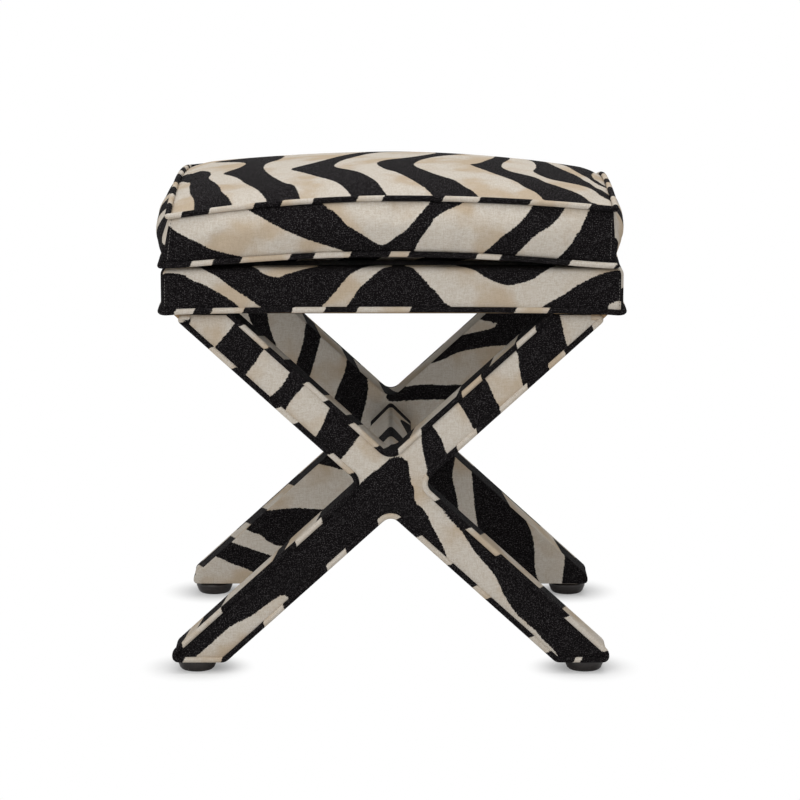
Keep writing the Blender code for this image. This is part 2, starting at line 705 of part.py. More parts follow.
def crown_height(u, v):
    arch = TOP_ARCH * (1 - (u * v) ** 2)
    return CUSHION_Z + BOXING_HEIGHT + arch + CROWN * dome(u, v, CROWN_POWER)


def belly_height(u, v):
    arch = BOTTOM_ARCH * (1 - (u * v) ** 2)
    sag = CORNER_LIFT + BOTTOM_ARCH - CLEARANCE
    return CUSHION_Z + arch - sag * dome(u, v, SAG_POWER)


def spaced(t):
    """Even steps drawn closer together towards the edges."""
    return (t + math.sin(t * math.pi / 2)) / 2


def gridded_box(across, deep, tall):
    """A box from -1 to 1 each way with its faces divided into a grid."""
    bm = bmesh.new()
    bmesh.ops.create_cube(bm, size=2.0)
    for axis, steps in enumerate((across, deep, tall)):
        if steps > 1:
            lines = [e for e in bm.edges if abs(e.verts[0].co[axis] - e.verts[1].co[axis]) > 1.0]
            bmesh.ops.subdivide_edges(bm, edges=lines, cuts=steps - 1, use_grid_fill=True)
    return bm


def padded_mesh(name, bm):
    """Splits each quad on its shorter diagonal, so that neighbouring layers fold alike."""
    bmesh.ops.triangulate(bm, faces=bm.faces, quad_method="SHORT_EDGE")
    return finish_mesh(name, bm, smooth=True)


def build_cushion_panels():
    for name, level, height, thick in (("cushion_top_panel", 1, crown_height, -FABRIC),
                                       ("cushion_bottom_panel", -1, belly_height, FABRIC)):
        half_x = corner_half(CUSHION_WIDTH, level)
        half_y = corner_half(CUSHION_DEPTH, level)
        bm = gridded_box(CUSHION_STEPS[0], CUSHION_STEPS[1], 1)
        for vert in bm.verts:
            u = spaced(vert.co.x) * (1 - CUSHION_SEAM / half_x)
            v = spaced(vert.co.y) * (1 - CUSHION_SEAM / half_y)
            inner = vert.co.z * level < 0
            vert.co = (u * half_x, v * half_y, height(u, v) + (thick if inner else 0.0))
        add_part(name, padded_mesh(name, bm), "printed_linen")


def build_cushion_boxing():
    for side, quarter in (("front", 0), ("right", 1), ("back", 2), ("left", 3)):
        facing = quarter % 2 == 0
        along_size, out_size = (CUSHION_WIDTH, CUSHION_DEPTH) if facing else (CUSHION_DEPTH, CUSHION_WIDTH)
        trim = 0.0 if facing else COVER
        steps = CUSHION_STEPS[0] if facing else CUSHION_STEPS[1]
        bm = gridded_box(steps, 1, CUSHION_STEPS[2])
        for vert in bm.verts:
            along = spaced(vert.co.x)
            low, high = seam_heights(along)
            share = (vert.co.z + 1) / 2
            height = low + CUSHION_SEAM + share * (high - low - 2 * CUSHION_SEAM)
            level = level_at(height, along)
            out = corner_half(out_size, level) + bulge(along, level)
            lining = FABRIC if vert.co.y > 0 else 0.0
            vert.co = (along * (corner_half(along_size, level) - trim), lining - out, height)
        name = "cushion_boxing_" + side
        add_part(name, padded_mesh(name, bm), "printed_linen", turn=quarter * math.pi / 2)


def core_side(size, along, level):
    """How far out the foam reaches on one side at a grid level, and the height of that place."""
    low, high = seam_heights(along)
    height = low + FOAM_INSET + (level + 1) / 2 * (high - low - 2 * FOAM_INSET)
    true_level = level_at(height, along)
    return corner_half(size, true_level) + bulge(along, true_level) - FOAM_INSET, height


def build_cushion_core():
    """The foam, a little inside every panel of the cover."""
    bm = gridded_box(*CUSHION_STEPS)
    for vert in bm.verts:
        level = vert.co.z
        on_side, on_front = abs(vert.co.x) == 1, abs(vert.co.y) == 1
        u, v = spaced(vert.co.x), spaced(vert.co.y)
        half_x, half_y = corner_half(CUSHION_WIDTH, level), corner_half(CUSHION_DEPTH, level)
        reach_x, side_height = core_side(CUSHION_WIDTH, v, level)
        reach_y, front_height = core_side(CUSHION_DEPTH, u, level)
        if on_side or on_front:
            x, y = u * reach_x, v * reach_y
        else:
            x, y = u * (half_x - CUSHION_SEAM), v * (half_y - CUSHION_SEAM)
        if abs(level) < 1:
            z = side_height if on_side else front_height
        elif level > 0:
            z = crown_height(x / half_x, y / half_y) - FOAM_INSET
        else:
            z = belly_height(x / half_x, y / half_y) + FOAM_INSET
        vert.co = (x, y, z)
    add_part("cushion_foam", padded_mesh("cushion_foam", bm), "foam")


def build_cushion_welts():
    for name, level in (("cushion_bottom_welt", -1), ("cushion_top_welt", 1)):
        half_x = corner_half(CUSHION_WIDTH, level) + CUSHION_SEAM
        half_y = corner_half(CUSHION_DEPTH, level) + CUSHION_SEAM
        arcs = rounded_rectangle(half_x, half_y, CUSHION_CORNER_RADIUS)
        corner = len(arcs) // 4
        line = []
        for quarter in range(4):
            line += arcs[quarter * corner:(quarter + 1) * corner]
            start, end = line[-1], arcs[(quarter + 1) * corner % len(arcs)]
            steps = CUSHION_STEPS[0]
            shares = [(spaced(2 * i / steps - 1) + 1) / 2 for i in range(1, steps)]
            line += [start.lerp(end, share) for share in shares]
        seam = []
        for p in line:
            sideways = abs(p.x) / half_x < abs(p.y) / half_y
            along = p.x / half_x if sideways else p.y / half_y
            seam.append((p.x, p.y, seam_heights(along)[(level + 1) // 2] + level * CUSHION_SEAM))
        add_part(name, cord_mesh(seam, True), "printed_cord")


def main():
    frames = {}
    for end, sign in (("front", -1), ("rear", 1)):
        frames[end] = build_x_frame(end, sign)
    legs = {end: frames[end][0] for end in frames}
    inners = {end: frames[end][1] for end in frames}
    sides = {end: frames[end][2] for end in frames}
    tops = {("front", "right"): legs["front"]["outer"], ("front", "left"): legs["front"]["inner"],
            ("rear", "left"): legs["rear"]["outer"], ("rear", "right"): legs["rear"]["inner"]}
    feet = {("front", "left"): legs["front"]["outer"], ("front", "right"): legs["front"]["inner"],
            ("rear", "right"): legs["rear"]["outer"], ("rear", "left"): legs["rear"]["inner"]}

    build_rails()
    blocks = build_blocks()
    dust = build_deck_core()
    build_deck_cover()
    build_leg_bolts(tops, blocks, dust)
    build_glides(feet, sides)
    build_stretcher(legs, inners)
    build_cushion_core()
    build_cushion_panels()
    build_cushion_boxing()
    build_cushion_welts()


main()
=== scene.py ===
"""Dresses the X-frame bench: printed linen covers, piped seams, glides and the finishes inside.

Metres, +Z up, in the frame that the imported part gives. The front is -Y. The stripes of the print are
drawn in millimetres on each panel, as seen from outside.
"""

import math

import bmesh
import bpy
import numpy as np
from bpy.props import FloatProperty, FloatVectorProperty, IntProperty, PointerProperty
from bpy.types import Operator, Panel, PropertyGroup
from mathutils import Matrix, Vector


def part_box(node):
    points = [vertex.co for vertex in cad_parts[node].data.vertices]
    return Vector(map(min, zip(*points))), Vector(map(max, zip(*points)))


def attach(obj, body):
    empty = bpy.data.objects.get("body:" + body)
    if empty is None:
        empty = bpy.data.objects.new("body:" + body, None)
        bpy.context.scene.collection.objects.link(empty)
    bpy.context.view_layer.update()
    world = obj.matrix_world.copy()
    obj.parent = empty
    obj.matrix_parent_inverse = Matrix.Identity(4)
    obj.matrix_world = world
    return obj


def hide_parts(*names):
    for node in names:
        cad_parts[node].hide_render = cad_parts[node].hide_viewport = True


bl_info = {
    "name": "X-frame bench covers",
    "version": (1, 0, 0),
    "blender": (4, 5, 0),
    "location": "3D View > Sidebar > Bench",
    "description": "Covers, cords and finishes of an X-frame bench in striped linen",
    "category": "Object",
}

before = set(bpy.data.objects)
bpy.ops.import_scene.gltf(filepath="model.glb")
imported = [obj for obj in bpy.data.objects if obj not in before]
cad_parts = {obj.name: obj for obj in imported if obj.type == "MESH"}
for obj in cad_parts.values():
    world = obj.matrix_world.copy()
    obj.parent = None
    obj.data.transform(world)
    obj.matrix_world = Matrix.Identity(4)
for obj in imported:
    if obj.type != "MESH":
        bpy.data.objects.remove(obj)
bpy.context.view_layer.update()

# Sides of a box, counted round from the front, then the panels of the cushion and of an X frame's cover
SIDES = ("front", "right", "back", "left")
PANELS = ("top", "bottom") + SIDES
X_PANELS = ("outer", "inner", "side_band", "top_band")

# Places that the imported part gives
DECK_HALF = Vector((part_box("deck_boxing_right")[1][0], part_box("deck_boxing_back")[1][1]))
DECK_SEAM_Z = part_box("deck_boxing_front")[0][2]
DECK_TOP_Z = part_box("deck_boxing_front")[1][2]
WINDOW_HALF = Vector(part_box("deck_top_cloth")[1])
FRAME_LOW, FRAME_HIGH = (Vector(corner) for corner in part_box("front_face_inner"))
FACE_Y = -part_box("front_face_outer")[0][1]
INNER_Y = -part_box("front_face_inner")[1][1]
STRETCHER_LOW, STRETCHER_HIGH = (Vector(corner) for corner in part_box("stretcher_sleeve"))
TOP_PANEL_HALF = Vector(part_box("cushion_top_panel")[1]).xy
BOTTOM_PANEL_HALF = Vector(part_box("cushion_bottom_panel")[1]).xy

# Cords lie just outside the corner of the two cloths they join
CORD_SEAT = 0.0007
CUSHION_CORD_SEAT = 0.00155

# X outline: half an arm over its cloth, how far out its top ends, the toe's upright cut and the corners
ARM_HALF = 0.0215
ARM_TOP_HALF = 0.2357
TOE_CUT = 0.0098
TOP_RADIUS = 0.008
NOTCH_RADIUS = 0.014
SHOULDER_RADIUS = 0.010
TOE_RADIUS = 0.0045
HEEL_RADIUS = 0.008
ARM_SPAN = Vector((ARM_TOP_HALF + FRAME_HIGH.x, FRAME_HIGH.z - FRAME_LOW.z - TOE_CUT))
ARM_ANGLE = math.atan2(ARM_SPAN.y, ARM_SPAN.x) + math.asin(2 * ARM_HALF / ARM_SPAN.length)
CROSSING_Z = FRAME_HIGH.z - ARM_TOP_HALF * math.tan(ARM_ANGLE) + ARM_HALF / math.cos(ARM_ANGLE)

# X covers: the outer face's hem, how its padding fades there, and how far the arms' under edges grow
OUTER_HEM = 0.0035
PAD_FADE = 0.006
COVER_UNDER = {"front": (0.0, 0.0012), "rear": (0.0036, 0.0036)}

# X cords: their way in from the outline, how far they grow under the arms, and their ends at the top
CORD_INSET = {"front": 0.0008, "rear": 0.0028}
CORD_UNDER = {"front": (-0.0015, 0.0012), "rear": (0.0036, 0.0036)}
CORD_DROP = 0.004
CORD_START = 0.014

# Cushion: half the widths of its seams, of which the bottom one is drawn in at the sides
LOW_TUCK = 0.002
CUSHION_TOP_HALF = TOP_PANEL_HALF + Vector((CUSHION_CORD_SEAT, CUSHION_CORD_SEAT))
CUSHION_LOW_HALF = BOTTOM_PANEL_HALF + Vector((CUSHION_CORD_SEAT - LOW_TUCK, CUSHION_CORD_SEAT))

# Cushion: how far each corner of its seams strays sideways and upwards, and how fast the rise fades
TOP_STRAYS = {(-1, -1): (0.0050, -0.006), (1, -1): (-0.0028, 0.002), (-1, 1): (0.0040, 0.0015),
              (1, 1): (-0.0020, -0.0185)}
LOW_STRAYS = {(-1, -1): (0.0008, 0.003), (1, -1): (-0.0055, 0.003), (-1, 1): (0.0, 0.003),
              (1, 1): (-0.003, 0.003)}
STRAY_POWER = 1.5

# Cushion: where its bottom seam lies, the height of its boxing, and how the two seams arch
CUSHION_Z = 0.4485
BOXING_HEIGHT = 0.0575
TOP_ARCH = 0.0137
BOTTOM_ARCH = 0.0155
BOW_POWERS = (1.3, 1.0)

# Cushion: how its top and bottom swell, then depth, power and drop of its sides' bulge in x and in y
CROWN_POWER = 1.0
CROWN_LEAN = 0.2
SAG_POWER = 0.6
SIDE_BULGES = ((0.0134, 1.2, 1.0), (0.012, 1.6, 0.0))
BULGE_END_POWER = 4
REST_GAP = 0.0003

# Cushion: the cloth that is filled
CLOTH_QUALITY = 6
CLOTH_STIFFNESS = 25.0
CLOTH_BENDING = 1.5
CLOTH_SHRINK = -0.01

# Deck: its cover's corners and rim, how squarely its hem arches, and the felt's corners and edges
DECK_CORNER = 0.010
DECK_RIM = 0.008
HEM_POWER = 0.25
FELT_CORNER = 0.004
FELT_EDGE = 0.0008

# Stretcher's sleeve: the radius that makes up for its rounded ridges, and how wide they are rounded
RIDGE_RADIUS = 0.0033
RIDGE_WIDTH = 0.0045

# Glides: the nail's bore, the edge and depth of the rim, the foot and the nail head's hole
GLIDE_BORE = 0.0017
GLIDE_EDGE = 0.003
GLIDE_RIM = 0.0065
GLIDE_FOOT_IN = 0.0025
GLIDE_FOOT_UP = 0.002
GLIDE_SOLE_IN = 0.0045
GLIDE_MOUTH = 0.001
GLIDE_SINK = 0.0035
GLIDE_SOFT = 0.0006

# Needle stitches beside the upright corner seams, with their ends' distances from the seams they meet
STITCH_PITCH = 0.0033
STITCH_LENGTH = 0.0023
STITCH_RADIUS = 0.00035
STITCH_SEAT = 0.0001
DECK_STITCH_INSET = 0.0036
DECK_STITCH_ENDS = (0.004, 0.009)
CUSHION_STITCH_INSET = 0.006
CUSHION_STITCH_ENDS = (0.006, 0.004)

# Stage: the camera's sensor and reach, the floor's shade round each glide, and the lamps
SENSOR_WIDTH = 36.0
FAR_CLIP = 200.0
FLOOR_GREY = 0.86
SHADE_REACH = (0.018, 0.066)
SHADE_LEAST = 0.25
LAMP_SIZES = {"key": 2.2, "overhead": 1.8}
LAMP_PLACES = {"key": (-1.5, -2.6, 2.3), "overhead": (0.3, -0.2, 2.6)}
LAMP_AIM = Vector((0.0, 0.0, 0.25))

# Striped linen: noise in the print's edge and in the wash, the edge's softness and the weave's depth
EDGE_NOISES = (300.0, 900.0)
WASH_NOISE = 14.0
EDGE_SOFT = 0.0003
WEAVE_DEPTH = 0.0003

# Plain cloths: two tones, the distance between two threads, the roughness and the depth of the weave
PLAIN_CLOTHS = {
    "deck_top_linen": ((0.045, 0.043, 0.042), (0.09, 0.086, 0.082), 0.0011, 0.9, 0.0003),
    "grey_felt": ((0.30, 0.29, 0.27), (0.42, 0.41, 0.39), 0.0016, 0.95, 0.0005),
    "black_dust_cloth": ((0.012, 0.012, 0.012), (0.03, 0.03, 0.03), 0.0008, 0.95, 0.0002),
}

# Two tones of each finish, and how much darker the thread's and the linen's second tones are
TIMBER_TONES = ((0.58, 0.40, 0.22), (0.36, 0.21, 0.10))
PLY_TONES = ((0.62, 0.45, 0.27), (0.40, 0.25, 0.13))
ZINC_TONES = ((0.50, 0.51, 0.52), (0.36, 0.37, 0.38))
GLIDE_TONES = ((0.012, 0.008, 0.007), (0.035, 0.027, 0.023))
THREAD_SHADE = 0.6
TAN_SHADE = 0.8

# Numbers of a Mix node's sockets for colours, and how often a wave's bands repeat for each unit of scale
MIX_SHARE = 0
MIX_FIRST = 6
MIX_SECOND = 7
MIX_RESULT = 2
WAVE_RATE = 20 / (2 * math.pi)

# Fineness of the meshes
ARC_STEP = math.radians(12.0)
ARC_ROOM = 0.49
CORD_STEP = 0.005
CORD_SIDES = 12
ARM_STEPS = 5
ARM_MARGIN = 1.05
BAND_STEP = 0.008
DECK_STEP = 0.004
SLEEVE_STEP = 0.004
CUSHION_STEP = 0.006
DUST_STEPS = (60, 52)
TURN_STEPS = 48
SHARP_ANGLE = math.radians(45.0)

# What counts as one point, as facing along an axis, and as no length or area
WELD = 1e-5
FACING = 0.9
NO_LENGTH = 1e-9
NO_AREA = 1e-12

# The print: millimetres in a metre, its digits, the depth that counts as deep, and how outlines soften
MILLIMETRES = 1000.0
PRINT_DIGITS = 2
FAR_INSIDE = 25.0
CORNER_CUTS = 2
CUT_SHARE = 0.25

# Print on the cushion: how far to the right it lies, and half its depth
PRINT_SHIFT = 0.0022
PRINT_HALF_Y = 0.205

# Print on the cushion's top: x to the right, y to the back
CUSHION_TOP = (-1, [
    (1, [(-246, 8), (-234, 21), (-198, -16), (-195, -50), (-198, -69), (-183, -115), (-178, -154),
         (-169, -174), (-163, -212), (-207, -212), (-206, -171), (-214, -135), (-217, -93),
         (-216, -75), (-229, -40), (-246, -34)]),
    (1, [(-184, -50), (-174, -30), (-165, -15), (-158, 28), (-172, 58), (-200, 88), (-196, 112),
         (-160, 146), (-138, 150), (-117, 112), (-122, 38), (-132, 18), (-138, -5), (-138, -44),
         (-129, -87), (-121, -112), (-111, -139), (-102, -146), (-96, -175), (-92, -212), (-127, -212),
         (-130, -187), (-137, -164), (-147, -139), (-155, -121), (-163, -90), (-173, -67)]),
    (1, [(-110, -61), (-97, -42), (-78, -17), (-54, 37), (-31, 98), (-16, 132), (13, 140), (30, 112),
         (11, 100), (-5, 92), (-18, 70), (-39, 14), (-53, -16), (-60, -48), (-59, -66), (-43, -85),
         (-31, -102), (-16, -141), (-7, -174), (2, -212), (-36, -212), (-42, -184), (-51, -160),
         (-60, -140), (-77, -116), (-95, -84)]),
    (1, [(-16, -48), (-4, -20), (21, -3), (42, 30), (58, 84), (34, 136), (44, 162), (69, 150),
         (98, 112), (77, 48), (59, 22), (36, -20), (27, -54), (28, -71), (39, -96), (53, -122),
         (72, -144), (88, -173), (102, -212), (50, -212), (47, -193), (38, -172), (29, -153),
         (16, -125), (7, -103), (-4, -91)]),
    (1, [(86, -49), (98, -43), (110, -3), (118, 29), (122, 100), (112, 150), (126, 150), (138, 65),
         (134, 10), (125, -28), (123, -61), (132, -83), (144, -93), (159, -106), (168, -129),
         (179, -140), (193, -157), (205, -169), (218, -184), (228, -212), (170, -212), (164, -189),
         (157, -174), (147, -159), (133, -130), (117, -108), (104, -84)]),
    (1, [(146, 116), (160, 102), (176, 60), (181, 5), (191, -30), (206, -67), (215, -102), (236, -125),
         (248, -150), (244, -164), (225, -143), (208, -125), (186, -116), (173, -109), (163, -90),
         (156, -69), (162, -47), (163, -5), (158, 50), (144, 90)]),
    (1, [(188, 56), (203, 84), (224, 76), (240, 58), (230, 20), (222, -44), (230, -70), (248, -78),
         (242, -92), (223, -81), (209, -47), (202, -10), (196, 20)]),
    (1, [(-250, 176), (-214, 168), (-170, 158), (-140, 142), (-112, 134), (-76, 146), (-34, 142),
         (-8, 128), (16, 132), (40, 142), (70, 134), (94, 142), (128, 138), (140, 156), (122, 186),
         (84, 190), (40, 182), (-10, 190), (-60, 186), (-110, 194), (-160, 186), (-204, 196),
         (-250, 192)]),
    (1, [(166, 212), (176, 184), (206, 160), (250, 150), (250, 176), (222, 186), (204, 212)]),
])

# Print on the cushion's boxing: along the panel, then up from the bottom seam
CUSHION_FRONT = (-1, [
    (1, [(-256, 54), (-238, 52), (-221, 36), (-202, 24), (-186, 12), (-166, 6), (-153, 1), (-146, -6),
         (-256, -6)]),
    (1, [(-158, 62), (-74, 62), (-67, 52), (-57, 46), (-51, 40), (-46, 33), (-33, 25), (-24, 18),
         (-13, 10), (-4, 9), (6, 17), (18, 25), (30, 39), (44, 55), (50, 62), (90, 62), (76, 53),
         (62, 47), (47, 38), (45, 32), (38, 23), (32, 14), (28, 5), (24, -6), (-34, -6), (-52, 5),
         (-67, 10), (-84, 16), (-101, 25), (-115, 33), (-132, 43), (-146, 53)]),
    (1, [(157, 62), (153, 56), (144, 43), (135, 34), (122, 24), (115, 17), (99, 1), (92, -6),
         (127, -6), (134, 2), (148, 18), (156, 27), (171, 36), (180, 45), (186, 54), (190, 62)]),
    (1, [(215, 62), (212, 55), (207, 45), (203, 35), (197, 27), (194, 19), (179, 2), (172, -6),
         (256, -6), (256, 62)]),
])
CUSHION_SIDE = (-1, [
    (1, [(-226, 33), (-206, 32), (-186, 10), (-178, -6), (-226, -6)]),
    (1, [(-168, 62), (-128, 62), (-112, 40), (-92, 22), (-82, -6), (-118, -6), (-132, 20), (-150, 42)]),
    (1, [(-72, 62), (-40, 62), (-20, 44), (2, 40), (24, 46), (42, 62), (76, 62), (54, 40), (30, 20),
         (22, -6), (-30, -6), (-44, 18), (-58, 40)]),
    (1, [(98, 62), (136, 62), (126, 40), (108, 22), (98, -6), (62, -6), (78, 22), (92, 42)]),
    (1, [(158, 62), (184, 62), (182, 40), (194, 24), (226, 22), (226, -6), (148, -6), (146, 20),
         (152, 44)]),
])

# Print on the deck's walls: along the panel, then up from the bottom seam
DECK_FRONT = (1, [
    (-1, [(-256, 84), (-256, 48), (-237, 44), (-221, 43), (-212, 36), (-200, 32), (-191, 27),
          (-180, 21), (-171, 15), (-161, 8), (-154, -6), (-124, -6), (-141, 9), (-154, 18), (-168, 27),
          (-183, 39), (-195, 46), (-206, 58), (-212, 84)]),
    (-1, [(-152, 72), (-142, 51), (-135, 42), (-127, 40), (-119, 38), (-113, 42), (-103, 45),
          (-93, 50), (-82, 57), (-72, 72)]),
    (-1, [(-20, 72), (6, 72), (-7, 54), (-15, 44), (-25, 35), (-36, 25), (-39, 18), (-46, 9),
          (-54, -6), (-84, -6), (-73, 8), (-63, 18), (-56, 27), (-46, 39), (-39, 45), (-29, 54)]),
    (-1, [(0, -6), (4, 5), (10, 7), (16, 5), (20, -6)]),
    (-1, [(10, 76), (20, 60), (25, 51), (29, 44), (35, 37), (43, 28), (52, 20), (55, 13), (65, 7),
          (76, -6), (144, -6), (162, 8), (174, 15), (185, 21), (197, 30), (207, 35), (219, 41),
          (231, 46), (246, 50), (256, 60), (256, 76)]),
    (1, [(62, 80), (80, 54), (89, 49), (95, 42), (104, 37), (118, 31), (128, 30), (140, 33), (150, 36),
         (158, 42), (168, 50), (182, 80)]),
    (-1, [(229, 8), (238, 13), (244, 15), (256, 15), (256, -6), (236, -6)]),
])
DECK_SIDE = (1, [
    (-1, [(-226, 62), (-190, 62), (-168, 38), (-140, 18), (-128, -6), (-158, -6), (-178, 14),
          (-204, 34), (-226, 40)]),
    (-1, [(-118, 72), (-92, 72), (-74, 46), (-60, 42), (-44, 48), (-30, 72), (-6, 72), (-26, 40),
          (-46, 22), (-70, 20), (-92, 32)]),
    (-1, [(28, 72), (62, 72), (46, 44), (28, 24), (18, -6), (-14, -6), (2, 22), (16, 44)]),
    (-1, [(92, 72), (164, 72), (142, 50), (138, 30), (150, 8), (150, -6), (88, -6), (96, 16), (92, 40)]),
    (-1, [(196, 72), (226, 72), (226, 20), (208, 34)]),
])

# Print on the outer faces of the X frames: x to the right, z up from the floor
FACE_OUTER = (-1, [
    (1, [(-228, 394), (-212, 395), (-214, 386), (-220, 382), (-230, 384)]),
    (1, [(-160, 394), (-166, 387), (-174, 377), (-186, 363), (-192, 356), (-160, 326), (-154, 332),
         (-148, 341), (-144, 345), (-137, 357), (-131, 363)]),
    (1, [(-103, 338), (-109, 332), (-114, 322), (-122, 313), (-134, 302), (-118, 287), (-112, 293),
         (-108, 302), (-94, 318), (-88, 324)]),
    (1, [(-62, 298), (-68, 291), (-72, 278), (-80, 264), (-86, 258), (-59, 233), (-53, 239),
         (-44, 250), (-35, 263), (-29, 269)]),
    (1, [(27, 273), (33, 267), (33, 255), (37, 236), (42, 216), (46, 205), (66, 238), (60, 244),
         (57, 254), (53, 264), (45, 275), (39, 282)]),
    (1, [(67, 306), (73, 300), (82, 286), (89, 272), (95, 266), (123, 289), (117, 295), (110, 308),
         (103, 325), (97, 331)]),
    (1, [(130, 361), (136, 355), (137, 340), (141, 319), (147, 313), (194, 357), (188, 363),
         (184, 379), (180, 398), (174, 404)]),
    (1, [(-46, 198), (-34, 210), (-27, 218), (-19, 225), (-11, 230), (-3, 238), (5, 242), (12, 241),
         (18, 237), (20, 231), (20, 222), (24, 204), (90, 160), (280, 10), (280, -20), (-280, -20),
         (-280, 10), (-90, 160)]),
    (-1, [(-114, 92), (-133, 79), (-143, 71), (-152, 64), (-172, 55), (-185, 44), (-198, 31),
          (-215, 17), (-226, 6), (-168, 6), (-161, 25), (-148, 36), (-123, 56), (-108, 76)]),
    (-1, [(20, 244), (20, 229), (24, 219), (25, 205), (26, 191), (32, 187), (38, 181), (42, 171),
          (47, 161), (54, 148), (60, 135), (63, 117), (89, 89), (102, 77), (128, 52), (151, 32),
          (168, 17), (184, 16), (177, 28), (165, 38), (160, 46), (149, 56), (137, 66), (129, 78),
          (121, 91), (116, 105), (107, 118), (96, 130), (85, 145), (78, 158), (65, 171), (42, 193),
          (37, 201), (36, 213), (40, 224), (36, 244)]),
])

# Print on the inner faces of the X frames
FACE_INNER = (-1, [
    (1, [(-222, 404), (-190, 404), (-184, 372), (-196, 352), (-222, 380)]),
    (1, [(-174, 364), (-146, 364), (-146, 348), (-144, 332), (-139, 314), (-132, 298), (-160, 322),
         (-168, 340)]),
    (1, [(-94, 344), (-100, 333), (-102, 317), (-103, 308), (-111, 283), (-118, 268), (-102, 252),
         (-94, 271), (-86, 299), (-82, 316), (-76, 326)]),
    (1, [(-46, 300), (-52, 288), (-54, 272), (-63, 253), (-66, 242), (-72, 228), (-40, 196),
         (-35, 213), (-29, 236), (-26, 254), (-28, 265), (-22, 276)]),
    (1, [(96, 350), (170, 356), (210, 356), (160, 306), (133, 304), (115, 303), (99, 300), (78, 296),
         (62, 287), (43, 281), (30, 284), (60, 312)]),
    (-1, [(72, 320), (96, 346), (103, 335), (115, 333), (130, 329), (115, 323), (99, 320), (84, 316)]),
    (1, [(190, 404), (226, 404), (214, 380), (186, 366)]),
    (1, [(0, 248), (16, 255), (43, 258), (62, 256), (92, 258), (88, 240), (64, 239), (39, 239),
         (22, 238), (0, 236), (-8, 241)]),
    (1, [(-104, 166), (-90, 162), (-79, 160), (-67, 157), (-54, 152), (-46, 170), (-70, 190)]),
    (1, [(-160, 103), (-151, 104), (-126, 107), (-112, 108), (-80, 106), (-66, 104), (-100, 76),
         (-120, 54), (-126, 62), (-135, 61), (-146, 66), (-155, 75), (-166, 78), (-173, 82), (-184, 86)]),
    (1, [(-200, 69), (-192, 66), (-175, 61), (-159, 55), (-144, 50), (-132, 46), (-152, 20),
         (-162, 28), (-177, 35), (-191, 40), (-202, 46), (-211, 49), (-220, 53)]),
    (1, [(28, 190), (60, 192), (80, 182), (77, 170), (74, 155), (73, 142), (77, 130), (81, 106),
         (84, 86), (56, 106), (28, 150)]),
    (1, [(94, 166), (96, 152), (98, 130), (100, 106), (104, 84), (106, 66), (150, 24), (184, 4),
         (176, 20), (172, 34), (172, 56), (169, 77), (163, 89), (156, 102), (130, 134)]),
    (1, [(206, 60), (208, 49), (207, 34), (203, 6), (256, 6), (256, 40)]),
])

# Print on the stretcher's sleeve: round it from its ridge, then from its middle to the back
SLEEVE = (-1, [
    (1, [(-80, 108), (-40, 114), (0, 120), (20, 122), (34, 132), (46, 150), (46, 176), (-80, 176)]),
    (1, [(8, 94), (24, 122), (44, 156), (80, 156), (80, 30), (36, 8), (24, 20), (18, 56)]),
    (1, [(0, 4), (-24, -4), (-80, -12), (-80, -60), (-30, -52), (0, -54), (14, -44), (34, -60),
         (80, -72), (80, -24), (24, -14), (12, 0)]),
    (1, [(-80, -110), (-44, -116), (-20, -150), (20, -150), (50, -112), (80, -104), (80, -176),
         (-80, -176)]),
])

# Pale runs of the bands over an X's edge and of the cords, in millimetres along each, then their slants
SIDE_BAND_PALE = {
    "front": [(20, 62), (118, 170), (226, 262), (338, 384), (402, 478), (514, 534), (570, 600), (650, 712),
              (772, 820), (880, 930), (990, 1030), (1153, 1222), (1256, 1344), (1484, 1534), (1586, 1634)],
    "rear": [(20, 62), (118, 170), (226, 262), (300, 330), (392, 435), (462, 487), (540, 552), (570, 600),
             (650, 712), (772, 820), (880, 930), (990, 1030), (1120, 1142), (1205, 1289), (1394, 1430),
             (1484, 1534), (1586, 1634)],
}
# On the rear X the top band's long pale runs are partly painted highlight: pale print stands for the light
# along its upper edges, which are seen at a grazing angle
TOP_BAND_PALE_AND_HIGHLIGHT = {
    "front": [(100, 136), (184, 252), (285, 323), (340, 372), (430, 468)],
    "rear": [(0, 282), (298, 338), (358, 401), (422, 530)],
}
SIDE_CORD_PALE = [(0, 14), (55, 88), (152, 177), (227, 258), (328, 366), (476, 534), (562, 603), (665, 694),
                  (758, 786), (833, 857), (887, 933), (969, 989), (1053, 1078), (1110, 1117), (1154, 1211),
                  (1313, 1357), (1403, 1435), (1479, 1507), (1541, 1580), (1611, 1634), (1674, 1704)]
TOP_CORD_PALE = [(25, 52), (103, 131), (190, 223), (250, 287), (324, 353), (409, 445)]
CUSHION_TOP_CORD_PALE = [(0, 17), (47, 94), (124, 157), (204, 231), (295, 333), (387, 450)]
CUSHION_LOW_CORD_PALE = [(35, 58), (88, 140), (166, 204), (246, 266), (338, 363), (437, 485)]
DECK_CORD_PALE = [(22, 42), (61, 95), (147, 181), (216, 272), (384, 419), (530, 566)]
CORD_RUNS = ((34, 40), (52, 30), (28, 46), (44, 36), (60, 26))
CORD_SLANT = -0.45
BAND_SLANT = 0.25


